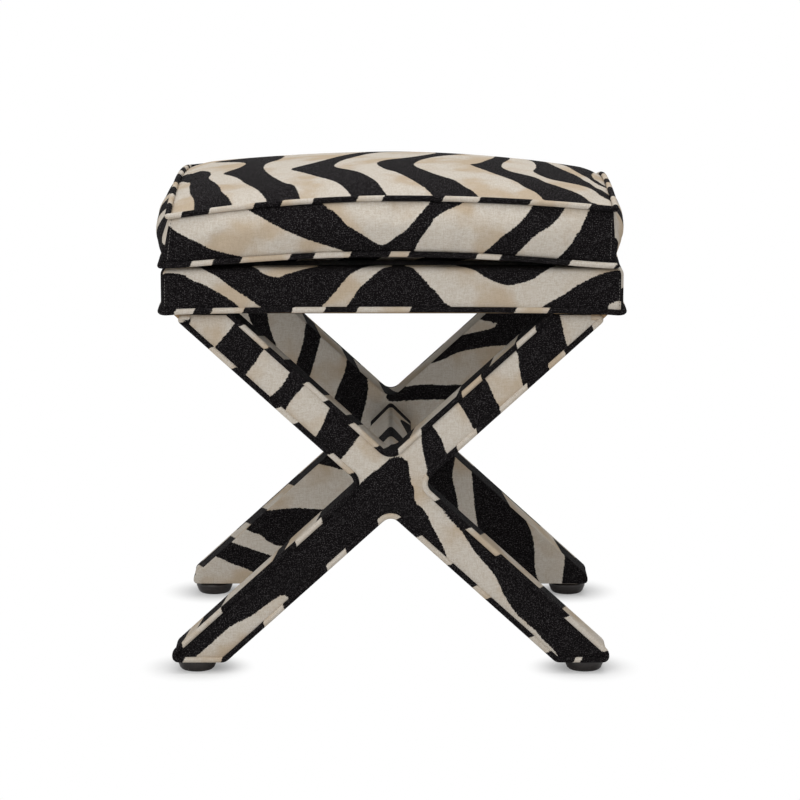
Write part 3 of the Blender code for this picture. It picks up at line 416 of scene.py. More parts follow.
class ClothSettings(PropertyGroup):
    """Colours and fineness of the striped linen."""

    cream: FloatVectorProperty(name="Cream", description="Bare linen between the stripes", subtype="COLOR",
                               size=3, min=0.0, max=1.0, default=(0.62, 0.58, 0.52))
    tan: FloatVectorProperty(name="Tan", description="Wash over the pale stripes", subtype="COLOR",
                             size=3, min=0.0, max=1.0, default=(0.49, 0.385, 0.27))
    black: FloatVectorProperty(name="Black", description="Printed stripes", subtype="COLOR",
                               size=3, min=0.0, max=1.0, default=(0.005, 0.0042, 0.0046))
    fleck: FloatVectorProperty(name="Fleck", description="Threads that the print leaves grey",
                               subtype="COLOR", size=3, min=0.0, max=1.0, default=(0.095, 0.088, 0.090))
    thread: FloatVectorProperty(name="Thread", description="Needle stitches", subtype="COLOR",
                                size=3, min=0.0, max=1.0, default=(0.16, 0.15, 0.14))
    weave: FloatProperty(name="Weave", description="Distance between two threads", subtype="DISTANCE",
                         default=0.0009, min=0.0002, max=0.01, precision=4)
    ragged: FloatProperty(name="Ragged edge", description="How far the print's edge strays",
                          subtype="DISTANCE", default=0.0026, min=0.0, max=0.01, precision=4)


class SizeSettings(PropertyGroup):
    """Sizes of the soft pieces."""

    cord_radius: FloatProperty(name="Cord radius", description="Half the thickness of a covered cord",
                               subtype="DISTANCE", default=0.0031, min=0.001, max=0.01, precision=4)
    crown: FloatProperty(name="Crown", description="Rise of the cushion's top over its seams",
                         subtype="DISTANCE", default=0.0168, min=0.0, max=0.06, precision=4)
    pressure: FloatProperty(name="Pressure", description="Fill that swells the cushion's cover",
                            default=4.0, min=0.0, max=20.0)
    swell: FloatProperty(name="Swell", description="Most that a place on the cushion may move",
                         subtype="DISTANCE", default=0.006, min=0.0, max=0.03, precision=4)
    sim_frames: IntProperty(name="Frames", description="Steps of the swelling", default=20, min=1, max=60)
    deck_arch: FloatProperty(name="Deck arch", description="Rise of the deck's hem in the middle of a side",
                             subtype="DISTANCE", default=0.0062, min=0.0, max=0.008, precision=4)
    deck_ease: FloatProperty(name="Deck ease", subtype="DISTANCE",
                             description="How far the deck's right wall stands off its rail",
                             default=0.003, min=0.0, max=0.006, precision=4)
    face_pad: FloatProperty(name="Face padding", description="Swell of the X frames' outer faces",
                            subtype="DISTANCE", default=0.0016, min=0.0, max=0.004, precision=4)
    cloth: FloatProperty(name="Cloth", description="Thickness of the linen", subtype="DISTANCE",
                         default=0.0012, min=0.0003, max=0.004, precision=4)


class StageSettings(PropertyGroup):
    """Camera, floor and light."""

    lens: FloatProperty(name="Lens", description="Focal length on a 36 mm sensor", default=140.3, min=10.0)
    eye: FloatVectorProperty(name="Eye", description="Place of the camera", subtype="TRANSLATION", size=3,
                             default=(0.0, -3.4775, 0.926))
    tilt: FloatProperty(name="Tilt", description="Camera's angle up from straight down", subtype="ANGLE",
                        default=math.radians(79.26))
    shift: FloatProperty(name="Shift", description="Sideways framing of the photograph", default=0.0116)
    floor: FloatProperty(name="Floor", description="Length of the floor's sides", subtype="DISTANCE",
                         default=40.0, min=1.0)
    sky: FloatProperty(name="Sky", description="Strength of the light from all round", default=0.46,
                       min=0.0)
    key: FloatProperty(name="Key lamp", description="Power of the large lamp at the front", default=48.0,
                       subtype="POWER", min=0.0)
    fill: FloatProperty(name="Top lamp", description="Power of the lamp overhead", default=30.0,
                        subtype="POWER", min=0.0)


class BenchSettings(PropertyGroup):
    """All that a user would change."""

    cloth: PointerProperty(type=ClothSettings, name="Cloth", description="The striped linen")
    sizes: PointerProperty(type=SizeSettings, name="Sizes", description="The soft pieces")
    stage: PointerProperty(type=StageSettings, name="Stage", description="Camera, floor and light")


def settings():
    """The values that a user may change."""
    return bpy.context.scene.bench


# The print

def softened(outline):
    """Takes the corners off a drawn outline."""
    line = np.array(outline, dtype=np.float32)
    for _ in range(CORNER_CUTS):
        after = np.roll(line, -1, axis=0)
        near = (1 - CUT_SHARE) * line + CUT_SHARE * after
        far = CUT_SHARE * line + (1 - CUT_SHARE) * after
        line = np.stack([near, far], axis=1).reshape(-1, 2)
    return line


def from_edges(outline, places):
    """Edges of an outline, their lengths, and each place's share along and squared gap to every edge."""
    edge = np.roll(outline, -1, axis=0) - outline
    size = np.sqrt((edge ** 2).sum(axis=1))
    away = places[:, None, :] - outline[None]
    share = np.clip((away * edge).sum(axis=2) / np.maximum(size ** 2, NO_AREA), 0.0, 1.0)
    return edge, size, share, ((away - share[..., None] * edge) ** 2).sum(axis=2)


def depth_inside(outline, places):
    """Distance of each place to an outline, positive inside it."""
    edge, _, _, gap = from_edges(outline, places)
    distance = np.sqrt(gap.min(axis=1))
    height = places[:, None, 1]
    above = outline[:, 1] > height
    spans = above != np.roll(above, -1, axis=1)
    rise = np.where(np.abs(edge[:, 1]) < NO_LENGTH, NO_LENGTH, edge[:, 1])
    meets = outline[:, 0] + (height - outline[:, 1]) / rise * edge[:, 0]
    inside = (spans & (places[:, None, 0] < meets)).sum(axis=1) % 2 == 1
    return np.where(inside, distance, -distance)


def drawn(pattern):
    """How deep in the black each place on a panel lies, for a ground with patches laid over it in turn."""
    ground, patches = pattern

    def ink(places):
        depth = np.full(len(places), ground * FAR_INSIDE, dtype=np.float32)
        for tone, outline in patches:
            line = softened(outline)
            low, high = line.min(axis=0) - FAR_INSIDE, line.max(axis=0) + FAR_INSIDE
            near = ((places > low) & (places < high)).all(axis=1)
            patch = np.full(len(places), -FAR_INSIDE, dtype=np.float32)
            patch[near] = depth_inside(line, places[near])
            depth = np.maximum(depth, patch) if tone > 0 else np.minimum(depth, -patch)
        return np.clip(depth, -FAR_INSIDE, FAR_INSIDE)

    return ink


def banded(pale, slant):
    """How deep in the black each place on a cord or band lies, which is black except along some runs."""
    def ink(places):
        along = places[:, 0] + slant * places[:, 1]
        depth = np.full(len(places), FAR_INSIDE, dtype=np.float32)
        for start, end in pale:
            depth = np.minimum(depth, np.maximum(start - along, along - end))
        return np.clip(depth, -FAR_INSIDE, FAR_INSIDE)

    return ink


def all_round(pale, length):
    """Carries a cord's pale runs on from the front, round the sides and the back."""
    runs = list(pale)
    place = runs[-1][1]
    turn = 0
    while True:
        black, light = CORD_RUNS[turn % len(CORD_RUNS)]
        if place + black + light > length:
            return runs
        runs.append((place + black, place + black + light))
        place += black + light
        turn += 1


def lay_print(mesh, prints):
    """Writes how deep in the black each face corner is, in metres, from its panel and its UV map."""
    corners, faces = len(mesh.loops), len(mesh.polygons)
    places = np.empty(corners * 2, dtype=np.float32)
    mesh.uv_layers["UVMap"].uv.foreach_get("vector", places)
    places = places.reshape(-1, 2) * MILLIMETRES
    panel = np.empty(faces, dtype=np.int32)
    mesh.attributes["panel"].data.foreach_get("value", panel)
    sizes = np.empty(faces, dtype=np.int32)
    mesh.polygons.foreach_get("loop_total", sizes)
    panel = np.repeat(panel, sizes)
    depth = np.zeros(corners, dtype=np.float32)
    for number, ink in enumerate(prints):
        here = panel == number
        if ink and here.any():
            spots, back = np.unique(places[here].round(PRINT_DIGITS), axis=0, return_inverse=True)
            depth[here] = ink(spots)[back.reshape(-1)]
    layer = mesh.attributes.new("ink", "FLOAT", "CORNER")
    layer.data.foreach_set("value", depth / MILLIMETRES)


# Nodes and materials

def new_material(name):
    material = bpy.data.materials.new(name)
    material.use_nodes = True
    return material, material.node_tree, material.node_tree.nodes["Principled BSDF"]


def add_node(tree, kind, sockets=None, **options):
    """Adds a node; each socket named or numbered takes a value or another node's output."""
    node = tree.nodes.new(kind)
    for name, value in options.items():
        setattr(node, name, value)
    for key, value in (sockets or {}).items():
        if isinstance(value, bpy.types.NodeSocket):
            tree.links.new(value, node.inputs[key])
        else:
            node.inputs[key].default_value = value
    return node


def math_node(tree, operation, first, second):
    return add_node(tree, "ShaderNodeMath", {0: first, 1: second}, operation=operation).outputs[0]


def noise(tree, vector, scale, detail=2.0, roughness=0.5):
    sockets = {"Vector": vector, "Scale": scale, "Detail": detail, "Roughness": roughness}
    return add_node(tree, "ShaderNodeTexNoise", sockets).outputs["Fac"]


def object_place(tree):
    return add_node(tree, "ShaderNodeTexCoord").outputs["Object"]


def stretched(tree, vector, scale):
    return add_node(tree, "ShaderNodeMapping", {"Vector": vector, "Scale": scale}).outputs["Vector"]


def ramp(tree, value, low, high, start=0.0, end=1.0):
    sockets = {"Value": value, "From Min": low, "From Max": high, "To Min": start, "To Max": end}
    return add_node(tree, "ShaderNodeMapRange", sockets, interpolation_type="SMOOTHSTEP").outputs["Result"]


def blend(tree, share, first, second):
    """Mixes two colours, each a colour or an output."""
    sockets = {MIX_SHARE: share, MIX_FIRST: first, MIX_SECOND: second}
    return add_node(tree, "ShaderNodeMix", sockets, data_type="RGBA").outputs[MIX_RESULT]


def rgba(colour):
    return (*colour, 1.0)


def two_tone(tree, shader, share, tones):
    """Colours a shader between two tones."""
    first, second = tones
    tree.links.new(blend(tree, share, rgba(first), rgba(second)), shader.inputs["Base Color"])


def add_bump(tree, shader, height, distance, strength):
    bump = add_node(tree, "ShaderNodeBump", {"Height": height, "Distance": distance, "Strength": strength})
    tree.links.new(bump.outputs["Normal"], shader.inputs["Normal"])


def weave_height(tree, vector, pitch):
    """Warp over weft: two rows of threads that cross."""
    scale = 1 / (WAVE_RATE * pitch)
    rows = []
    for direction in ("X", "Y"):
        wave = add_node(tree, "ShaderNodeTexWave", {"Vector": vector, "Scale": scale, "Distortion": 1.2,
                                                    "Detail": 1.0, "Detail Scale": 0.4},
                        wave_type="BANDS", bands_direction=direction)
        rows.append(wave.outputs["Fac"])
    return math_node(tree, "MAXIMUM", *rows)


def slub(tree, vector, pitch):
    """Uneven threads both ways."""
    fine, long = 0.55 / pitch, 0.13 / pitch
    warp = noise(tree, stretched(tree, vector, (fine, long, 1.0)), 1.0)
    weft = noise(tree, stretched(tree, vector, (long, fine, 1.0)), 1.0)
    return math_node(tree, "MULTIPLY", math_node(tree, "ADD", warp, weft), 0.5)


def striped_linen():
    """Striped linen: the ink attribute says where the black is."""
    cloth = settings().cloth
    material, tree, shader = new_material("striped_linen")
    place = add_node(tree, "ShaderNodeUVMap", uv_map="UVMap").outputs["UV"]
    ink = add_node(tree, "ShaderNodeAttribute", attribute_name="ink").outputs["Fac"]
    broad, fine = EDGE_NOISES
    stray = math_node(tree, "ADD", noise(tree, place, broad), noise(tree, place, fine, 1.0))
    stray = math_node(tree, "MULTIPLY", math_node(tree, "SUBTRACT", stray, 1.0), cloth.ragged)
    edge = math_node(tree, "ADD", ink, stray)
    black = ramp(tree, edge, -EDGE_SOFT, EDGE_SOFT)

    threads = slub(tree, place, cloth.weave)
    wash = ramp(tree, noise(tree, place, WASH_NOISE, 3.0), 0.45, 0.62, 0.0, 0.85)
    pale = blend(tree, wash, rgba(cloth.cream), rgba(cloth.tan))
    grain = noise(tree, place, 0.8 / cloth.weave, 2.0)
    shade = math_node(tree, "ADD", ramp(tree, threads, 0.38, 0.64, 0.0, 0.34),
                      ramp(tree, grain, 0.40, 0.66, 0.0, 0.3))
    pale = blend(tree, shade, pale, rgba([TAN_SHADE * c for c in cloth.tan]))
    grey = ramp(tree, grain, 0.56, 0.72)
    grey = math_node(tree, "MAXIMUM", grey, ramp(tree, threads, 0.53, 0.66, 0.0, 0.3))
    dark = blend(tree, grey, rgba(cloth.black), rgba(cloth.fleck))
    tree.links.new(blend(tree, black, pale, dark), shader.inputs["Base Color"])

    tree.links.new(ramp(tree, threads, 0.3, 0.7, 0.92, 0.78), shader.inputs["Roughness"])
    shader.inputs["Specular IOR Level"].default_value = 0.03
    height = math_node(tree, "ADD", weave_height(tree, place, cloth.weave), threads)
    add_bump(tree, shader, height, WEAVE_DEPTH, 0.55)
    return material


def plain_cloth(name):
    """An unprinted cloth or felt on Object coordinates."""
    colour, shade, pitch, rough, depth = PLAIN_CLOTHS[name]
    material, tree, shader = new_material(name)
    place = object_place(tree)
    threads = slub(tree, place, pitch)
    patches = noise(tree, place, 30.0, 3.0)
    tone = math_node(tree, "MULTIPLY", ramp(tree, threads, 0.35, 0.65),
                     ramp(tree, patches, 0.2, 0.8, 0.5, 1.0))
    two_tone(tree, shader, tone, (colour, shade))
    tree.links.new(ramp(tree, threads, 0.3, 0.7, rough, rough - 0.12), shader.inputs["Roughness"])
    shader.inputs["Specular IOR Level"].default_value = 0.2
    shader.inputs["Sheen Weight"].default_value = 0.1
    height = math_node(tree, "ADD", weave_height(tree, place, pitch), threads)
    add_bump(tree, shader, height, depth, 0.6)
    return material


def sewing_thread():
    """Twisted sewing thread."""
    material, tree, shader = new_material("sewing_thread")
    place = object_place(tree)
    colour = settings().cloth.thread
    tone = ramp(tree, noise(tree, place, 900.0), 0.35, 0.65)
    two_tone(tree, shader, tone, (colour, [THREAD_SHADE * c for c in colour]))
    shader.inputs["Roughness"].default_value = 0.7
    add_bump(tree, shader, noise(tree, place, 2500.0), 0.0001, 0.5)
    return material


def timber(name, turn):
    """Sawn timber whose grain runs along X before it is turned."""
    material, tree, shader = new_material(name)
    place = object_place(tree)
    along = add_node(tree, "ShaderNodeMapping", {"Vector": place, "Rotation": turn}).outputs["Vector"]
    rings = noise(tree, stretched(tree, along, (6.0, 90.0, 90.0)), 1.0, 4.0, 0.6)
    pores = noise(tree, stretched(tree, along, (60.0, 1600.0, 1600.0)), 1.0, 2.0)
    tone = math_node(tree, "ADD", ramp(tree, rings, 0.35, 0.65, 0.0, 0.7),
                     ramp(tree, pores, 0.5, 0.75, 0.0, 0.3))
    two_tone(tree, shader, tone, TIMBER_TONES)
    tree.links.new(ramp(tree, rings, 0.3, 0.7, 0.6, 0.75), shader.inputs["Roughness"])
    add_bump(tree, shader, math_node(tree, "ADD", rings, pores), 0.0003, 0.35)
    return material


def birch_ply():
    """Birch ply: broad figure on the faces and thin layers on the edges."""
    material, tree, shader = new_material("birch_ply")
    place = object_place(tree)
    figure = noise(tree, stretched(tree, place, (5.0, 60.0, 60.0)), 1.0, 4.0, 0.6)
    layers = add_node(tree, "ShaderNodeTexWave", {"Vector": place, "Scale": 105.0}, wave_type="BANDS",
                      bands_direction="Z").outputs["Fac"]
    tone = math_node(tree, "ADD", ramp(tree, figure, 0.35, 0.65, 0.0, 0.5),
                     ramp(tree, layers, 0.4, 0.6, 0.0, 0.5))
    two_tone(tree, shader, tone, PLY_TONES)
    tree.links.new(ramp(tree, figure, 0.3, 0.7, 0.55, 0.7), shader.inputs["Roughness"])
    add_bump(tree, shader, figure, 0.0002, 0.3)
    return material


def zinc_steel():
    """Zinc-plated fasteners."""
    material, tree, shader = new_material("zinc_steel")
    place = object_place(tree)
    bloom = noise(tree, place, 300.0, 3.0)
    two_tone(tree, shader, bloom, ZINC_TONES)
    shader.inputs["Metallic"].default_value = 1.0
    tree.links.new(ramp(tree, bloom, 0.3, 0.7, 0.32, 0.5), shader.inputs["Roughness"])
    add_bump(tree, shader, noise(tree, place, 1800.0), 0.00005, 0.3)
    return material


def glide_plastic():
    """Moulded glides, dark brown and scuffed."""
    material, tree, shader = new_material("glide_plastic")
    place = object_place(tree)
    scuffs = ramp(tree, noise(tree, stretched(tree, place, (90.0, 90.0, 700.0)), 1.0, 3.0), 0.55, 0.75)
    two_tone(tree, shader, scuffs, GLIDE_TONES)
    tree.links.new(ramp(tree, scuffs, 0.0, 1.0, 0.38, 0.6), shader.inputs["Roughness"])
    add_bump(tree, shader, noise(tree, place, 1400.0, 3.0), 0.0001, 0.3)
    return material


def material_once(make, *values):
    """Makes a material the first time it is asked for."""
    name = values[0] if values else make.__name__
    return bpy.data.materials.get(name) or make(*values)


# Meshes and pieces

def add_piece(name, mesh, materials, body, replaced=()):
    """Adds a finished piece that rides on a body and stands for some CAD nodes."""
    piece = bpy.data.objects.new(name, mesh)
    bpy.context.scene.collection.objects.link(piece)
    for material in materials:
        mesh.materials.append(material)
    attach(piece, body)
    if replaced:
        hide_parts(*replaced)
    return piece


def finished(name, bm, smooth=True):
    """Turns a bmesh into a mesh with closed seams and outward faces."""
    bmesh.ops.remove_doubles(bm, verts=bm.verts, dist=WELD)
    bmesh.ops.recalc_face_normals(bm, faces=bm.faces)
    mesh = bpy.data.meshes.new(name)
    bm.to_mesh(mesh)
    bm.free()
    if smooth:
        mesh.shade_smooth()
        mesh.set_sharp_from_angle(angle=SHARP_ANGLE)
    return mesh


def print_layers(bm):
    """Adds the UV map and the panel numbers that the print is laid by."""
    return bm.loops.layers.uv.new("UVMap"), bm.faces.layers.int.new("panel")


def edges_along(bm, axis):
    """Edges that reach along an axis."""
    return [e for e in bm.edges if abs(e.verts[0].co[axis] - e.verts[1].co[axis]) > WELD]


def bevelled(bm, edges, width, turns):
    """Rounds some edges."""
    bmesh.ops.bevel(bm, geom=edges, offset=width, segments=turns, profile=0.5, affect="EDGES", material=-1)


def sliced(bm, normal, origin, offsets):
    """Cuts every face along parallel planes."""
    normal = Vector(normal)
    for offset in offsets:
        geometry = bm.verts[:] + bm.edges[:] + bm.faces[:]
        bmesh.ops.bisect_plane(bm, geom=geometry, dist=WELD, plane_co=Vector(origin) + normal * offset,
                               plane_no=normal)


def evenly(low, high, step):
    """Places between two ends, about a step apart."""
    count = max(int(round((high - low) / step)), 1)
    return [low + (high - low) * k / count for k in range(1, count)]


def rounded(corners, closed=True):
    """Points of an outline whose corners (across, up, radius) are turned as arcs."""
    points = []
    for number, (across, up, radius) in enumerate(corners):
        here = Vector((across, up))
        is_end = not closed and number in (0, len(corners) - 1)
        if is_end or radius <= 0.0:
            points.append(here)
            continue
        before = Vector(corners[number - 1][:2]) - here
        after = Vector(corners[(number + 1) % len(corners)][:2]) - here
        half = before.angle(after) / 2
        reach = min(radius / math.tan(half), ARC_ROOM * min(before.length, after.length))
        radius = reach * math.tan(half)
        before.normalize()
        after.normalize()
        centre = here + (before + after).normalized() * radius / math.sin(half)
        start = here + before * reach - centre
        end = here + after * reach - centre
        first = math.atan2(start.y, start.x)
        turn = (math.atan2(end.y, end.x) - first + math.pi) % (2 * math.pi) - math.pi
        steps = max(int(math.ceil(abs(turn) / ARC_STEP)), 2)
        for step in range(steps + 1):
            angle = first + turn * step / steps
            points.append(centre + Vector((math.cos(angle), math.sin(angle))) * radius)
    return points


def rounded_box(half, corner):
    """Outline of a box with rounded corners, from its front left corner round to the right."""
    return rounded([(side_x * half.x, side_y * half.y, corner)
                    for side_x, side_y in ((-1, -1), (1, -1), (1, 1), (-1, 1))])


def divided(points, step, closed):
    """Adds points to a path so that none of its runs is longer than a step."""
    path = []
    ends = points[1:] + points[:1] if closed else points[1:]
    for start, end in zip(points, ends):
        count = max(int(math.ceil((end - start).length / step)), 1)
        path += [start.lerp(end, k / count) for k in range(count)]
    return path if closed else path + [points[-1]]


def cord_mesh(name, path, across, closed, hidden):
    """A covered cord swept along a path in a plane; its UV map holds its length and its way round.

    The way round is counted from the turn that lies against the cloth, so that its jump is out of sight.
    """
    radius = settings().sizes.cord_radius
    bm = bmesh.new()
    uv, panel = print_layers(bm)
    ring_of = bm.verts.layers.int.new("ring")
    turn_of = bm.verts.layers.int.new("turn")
    lengths = [0.0]
    for start, end in zip(path, path[1:] + path[:1]):
        lengths.append(lengths[-1] + (end - start).length)
    ring = bmesh.ops.create_circle(bm, segments=CORD_SIDES, radius=radius)["verts"]
    first_edges = edges = bm.edges[:]
    for number, here in enumerate(path):
        if number:
            bmesh.ops.extrude_edge_only(bm, edges=edges)
            older = set(ring)
            linked = [[e.other_vert(v) for e in v.link_edges] for v in ring]
            ring = [next(v for v in verts if v[ring_of] == number - 1 and v not in older)
                    for verts in linked]
            edges = [bm.edges.get((ring[k - 1], ring[k])) for k in range(CORD_SIDES)]
        before = path[number - 1] if number or closed else path[0]
        after = path[(number + 1) % len(path)] if closed or number + 1 < len(path) else path[-1]
        ahead = (after - before).normalized()
        side = ahead.cross(across).normalized()
        up = side.cross(ahead)
        for turn, vert in enumerate(ring):
            angle = 2 * math.pi * turn / CORD_SIDES
            vert.co = here + (side * math.cos(angle) + up * math.sin(angle)) * radius
            vert[ring_of] = number
            vert[turn_of] = turn
    if closed:
        bmesh.ops.bridge_loops(bm, edges=first_edges + edges)
    else:
        bmesh.ops.contextual_create(bm, geom=first_edges)
        bmesh.ops.contextual_create(bm, geom=edges)
    last = len(path) - 1
    for face in bm.faces:
        rings = {v[ring_of] for v in face.verts}
        ways = {(v[turn_of] - hidden) % CORD_SIDES for v in face.verts}
        face[panel] = 0
        for loop in face.loops:
            number, way = loop.vert[ring_of], (loop.vert[turn_of] - hidden) % CORD_SIDES
            if closed and number == 0 and last in rings:
                number = last + 1
            if way == 0 and CORD_SIDES - 1 in ways:
                way = CORD_SIDES
            loop[uv].uv = (lengths[number], (way / CORD_SIDES - 0.5) * 2 * math.pi * radius)
    return finished(name, bm), lengths[-1]


def add_cord(name, path, across, closed, hidden, pale, body, node):
    """Adds a printed cord in place of its CAD node."""
    mesh, length = cord_mesh(name, path, across, closed, hidden)
    runs = all_round(pale, length * MILLIMETRES) if closed else pale
    lay_print(mesh, [banded(runs, CORD_SLANT)])
    return add_piece(name, mesh, [material_once(striped_linen)], body, [node])


# The cushion: u and v run from -1 to 1 across it, level from -1 at the bottom seam to 1 at the top

def seam_half(axis, level):
    """Half the cushion's width along an axis, between its two seams."""
    low, high = CUSHION_LOW_HALF[axis], CUSHION_TOP_HALF[axis]
    return low + (high - low) * (level + 1) / 2


def dome(u, v, power):
    """A swell that is whole in the middle of a panel and nothing at its seams."""
    return (max(1 - u * u, 0.0) * max(1 - v * v, 0.0)) ** power


def corner_stray(u, v, level):
    """How far the corners of the seams stray sideways and upwards from a true box."""
    stray = Vector((0.0, 0.0))
    for corner, top in TOP_STRAYS.items():
        move = Vector(LOW_STRAYS[corner]).lerp(Vector(top), (level + 1) / 2)
        near = max(corner[0] * u, 0.0) * max(1 + corner[1] * v, 0.0) / 2
        stray.x += near * move.x
        stray.y += (max(corner[0] * u, 0.0) * max(corner[1] * v, 0.0)) ** STRAY_POWER * move.y
    return stray


def seam_bow(u, v, level):
    """How far the bottom seam and the top seam arch over their corners, and a place between them."""
    round_off = max(1 - (u * v) ** 2, 0.0)
    low, high = BOTTOM_ARCH * round_off ** BOW_POWERS[0], TOP_ARCH * round_off ** BOW_POWERS[1]
    return low + (high - low) * (level + 1) / 2


def cushion_place(u, v, level):
    """Where a place on the unit box lies on the cushion."""
    sizes = settings().sizes
    stray = corner_stray(u, v, level)
    x, y = u * seam_half(0, level) + stray.x, v * seam_half(1, level)
    z = CUSHION_Z + (level + 1) / 2 * BOXING_HEIGHT + seam_bow(u, v, level) + stray.y
    if level > 1 - WELD:
        return x, y, z + sizes.crown * dome(u, v, CROWN_POWER) * (1 + CROWN_LEAN * u)
    if level < WELD - 1:
        drop = CUSHION_Z + BOTTOM_ARCH - DECK_TOP_Z - REST_GAP
        return x, y, z - drop * dome(u, v, SAG_POWER)
    facing = abs(v) > 1 - WELD
    along = u if facing else v
    depth, power, drop = SIDE_BULGES[facing]
    bulge = depth * (1 - level * level) ** power * (1 - drop * level) * (1 - along ** BULGE_END_POWER)
    if facing:
        y += math.copysign(bulge, v)
    else:
        x += math.copysign(bulge, u)
    return x, y, z


def box_panel(normal):
    """The number of the panel that looks this way."""
    axis = max(range(3), key=lambda k: abs(normal[k]))
    names = (("left", "right"), ("front", "back"), ("bottom", "top"))[axis]
    return PANELS.index(names[normal[axis] > 0])


def seen_along(side, x, y):
    """How far to the right a place on a side is, as seen from outside."""
    return {"front": x, "right": y, "back": -x, "left": -y}[side]


def cushion_bmesh():
    """A closed box of six gridded panels, shaped, with each panel's flat places in its UV map."""
    bm = bmesh.new()
    bmesh.ops.create_cube(bm, size=2.0)
    spans = (2 * CUSHION_LOW_HALF.x, 2 * CUSHION_LOW_HALF.y, BOXING_HEIGHT)
    for axis, span in enumerate(spans):
        cuts = round(span / CUSHION_STEP) - 1
        bmesh.ops.subdivide_edges(bm, edges=edges_along(bm, axis), cuts=cuts, use_grid_fill=True)
    bm.normal_update()
    uv, panel = print_layers(bm)
    for face in bm.faces:
        face[panel] = box_panel(face.normal)
        name = PANELS[face[panel]]
        for loop in face.loops:
            u, v, level = loop.vert.co
            across, deep = cushion_place(u, v, level)[0] + PRINT_SHIFT, v * PRINT_HALF_Y
            if name in SIDES:
                loop[uv].uv = (seen_along(name, across, deep), (level + 1) / 2 * BOXING_HEIGHT)
            else:
                loop[uv].uv = (across, deep)
    seams = [v.index for v in bm.verts if sum(abs(c) > 1 - WELD for c in v.co) > 1]
    for vert in bm.verts:
        vert.co = cushion_place(*vert.co)
    return bm, seams


def swell(piece, seams):
    """Fills the closed cover against its pinned seams, with a limit on how far a place may move."""
    sizes = settings().sizes
    mesh = piece.data
    group = piece.vertex_groups.new(name="seams")
    group.add(seams, 1.0, "REPLACE")
    cloth = piece.modifiers.new("swell", "CLOTH")
    cloth.settings.quality = CLOTH_QUALITY
    cloth.settings.vertex_group_mass = group.name
    cloth.settings.use_pressure = True
    cloth.settings.uniform_pressure_force = sizes.pressure
    cloth.settings.effector_weights.gravity = 0.0
    cloth.settings.tension_stiffness = CLOTH_STIFFNESS
    cloth.settings.compression_stiffness = CLOTH_STIFFNESS
    cloth.settings.bending_stiffness = CLOTH_BENDING
    cloth.settings.shrink_min = CLOTH_SHRINK
    cloth.collision_settings.use_collision = False
    cloth.point_cache.frame_start = 1
    cloth.point_cache.frame_end = sizes.sim_frames
    scene = bpy.context.scene
    for step in range(1, sizes.sim_frames + 1):
        scene.frame_set(step)
    count = len(mesh.vertices) * 3
    before, after = np.empty(count, dtype=np.float32), np.empty(count, dtype=np.float32)
    mesh.vertices.foreach_get("co", before)
    filled = piece.evaluated_get(bpy.context.evaluated_depsgraph_get()).data
    filled.vertices.foreach_get("co", after)
    move = (after - before).reshape(-1, 3)
    length = np.linalg.norm(move, axis=1, keepdims=True)
    move *= np.minimum(length, sizes.swell) / np.maximum(length, NO_LENGTH)
    place = before.reshape(-1, 3) + move
    place[:, 2] = np.maximum(place[:, 2], DECK_TOP_Z + REST_GAP)
    piece.modifiers.remove(cloth)
    piece.vertex_groups.remove(group)
    scene.frame_set(1)
    mesh.vertices.foreach_set("co", place.reshape(-1))
    mesh.update()


def applied(piece):
    """Gives a piece the mesh that its modifiers make."""
    graph = bpy.context.evaluated_depsgraph_get()
    mesh = bpy.data.meshes.new_from_object(piece.evaluated_get(graph), preserve_all_data_layers=True,
                                           depsgraph=graph)
    piece.modifiers.clear()
    piece.data = mesh
    return mesh


def cushion_cord_path(level):
    """The line of a cushion cord, from the front left corner round to the right."""
    seat = CUSHION_CORD_SEAT
    half = Vector((seam_half(0, level) + seat, seam_half(1, level) + seat))
    plan = rounded_box(half, settings().sizes.cord_radius)
    base = CUSHION_Z + (level + 1) / 2 * BOXING_HEIGHT + level * seat
    path = []
    for point in divided(plan, CORD_STEP, True):
        u, v = point.x / half.x, point.y / half.y
        stray = corner_stray(u, v, level)
        path.append(Vector((point.x + stray.x, point.y, base + seam_bow(u, v, level) + stray.y)))
    return path


# The X frames

def x_corners(grow, shoulder, under):
    """Corners of an X grown past its cloth: from the top left round the feet, then the upper V.

    The under edges of the upper and of the lower arms grow by a little more.
    """
    half = ARM_HALF + grow
    slope = math.tan(ARM_ANGLE)
    side, peak = half / math.sin(ARM_ANGLE), half / math.cos(ARM_ANGLE)
    high_side = side + under[0] / math.sin(ARM_ANGLE)
    low_peak = peak + under[1] / math.cos(ARM_ANGLE)
    foot, sole, top = FRAME_HIGH.x + grow, FRAME_LOW.z - grow, FRAME_HIGH.z
    left = [
        (-high_side - (shoulder - CROSSING_Z) / slope, shoulder, TOP_RADIUS),
        (-(side + high_side) / 2, CROSSING_Z + (side - high_side) / 2 * slope, NOTCH_RADIUS - grow),
        (-foot, CROSSING_Z - (foot - side) * slope, SHOULDER_RADIUS + grow),
        (-foot, sole, TOE_RADIUS + grow),
        (-(CROSSING_Z - low_peak - sole) / slope, sole, HEEL_RADIUS + grow),
    ]
    right = [(-x, z, radius) for x, z, radius in reversed(left)]
    around = left + [(0.0, CROSSING_Z - low_peak, NOTCH_RADIUS - grow)] + right
    top_in = (top - CROSSING_Z - peak) / slope
    return around, [(top_in, top, 0.0), (0.0, CROSSING_Z + peak, NOTCH_RADIUS - grow), (-top_in, top, 0.0)]


def along_outline(outline, places):
    """How far along a closed outline the nearest point to each place is."""
    _, size, share, gap = from_edges(outline, places)
    nearest = gap.argmin(axis=1)
    reached = np.concatenate([[0.0], np.cumsum(size)[:-1]])
    return reached[nearest] + share[np.arange(len(places)), nearest] * size[nearest]


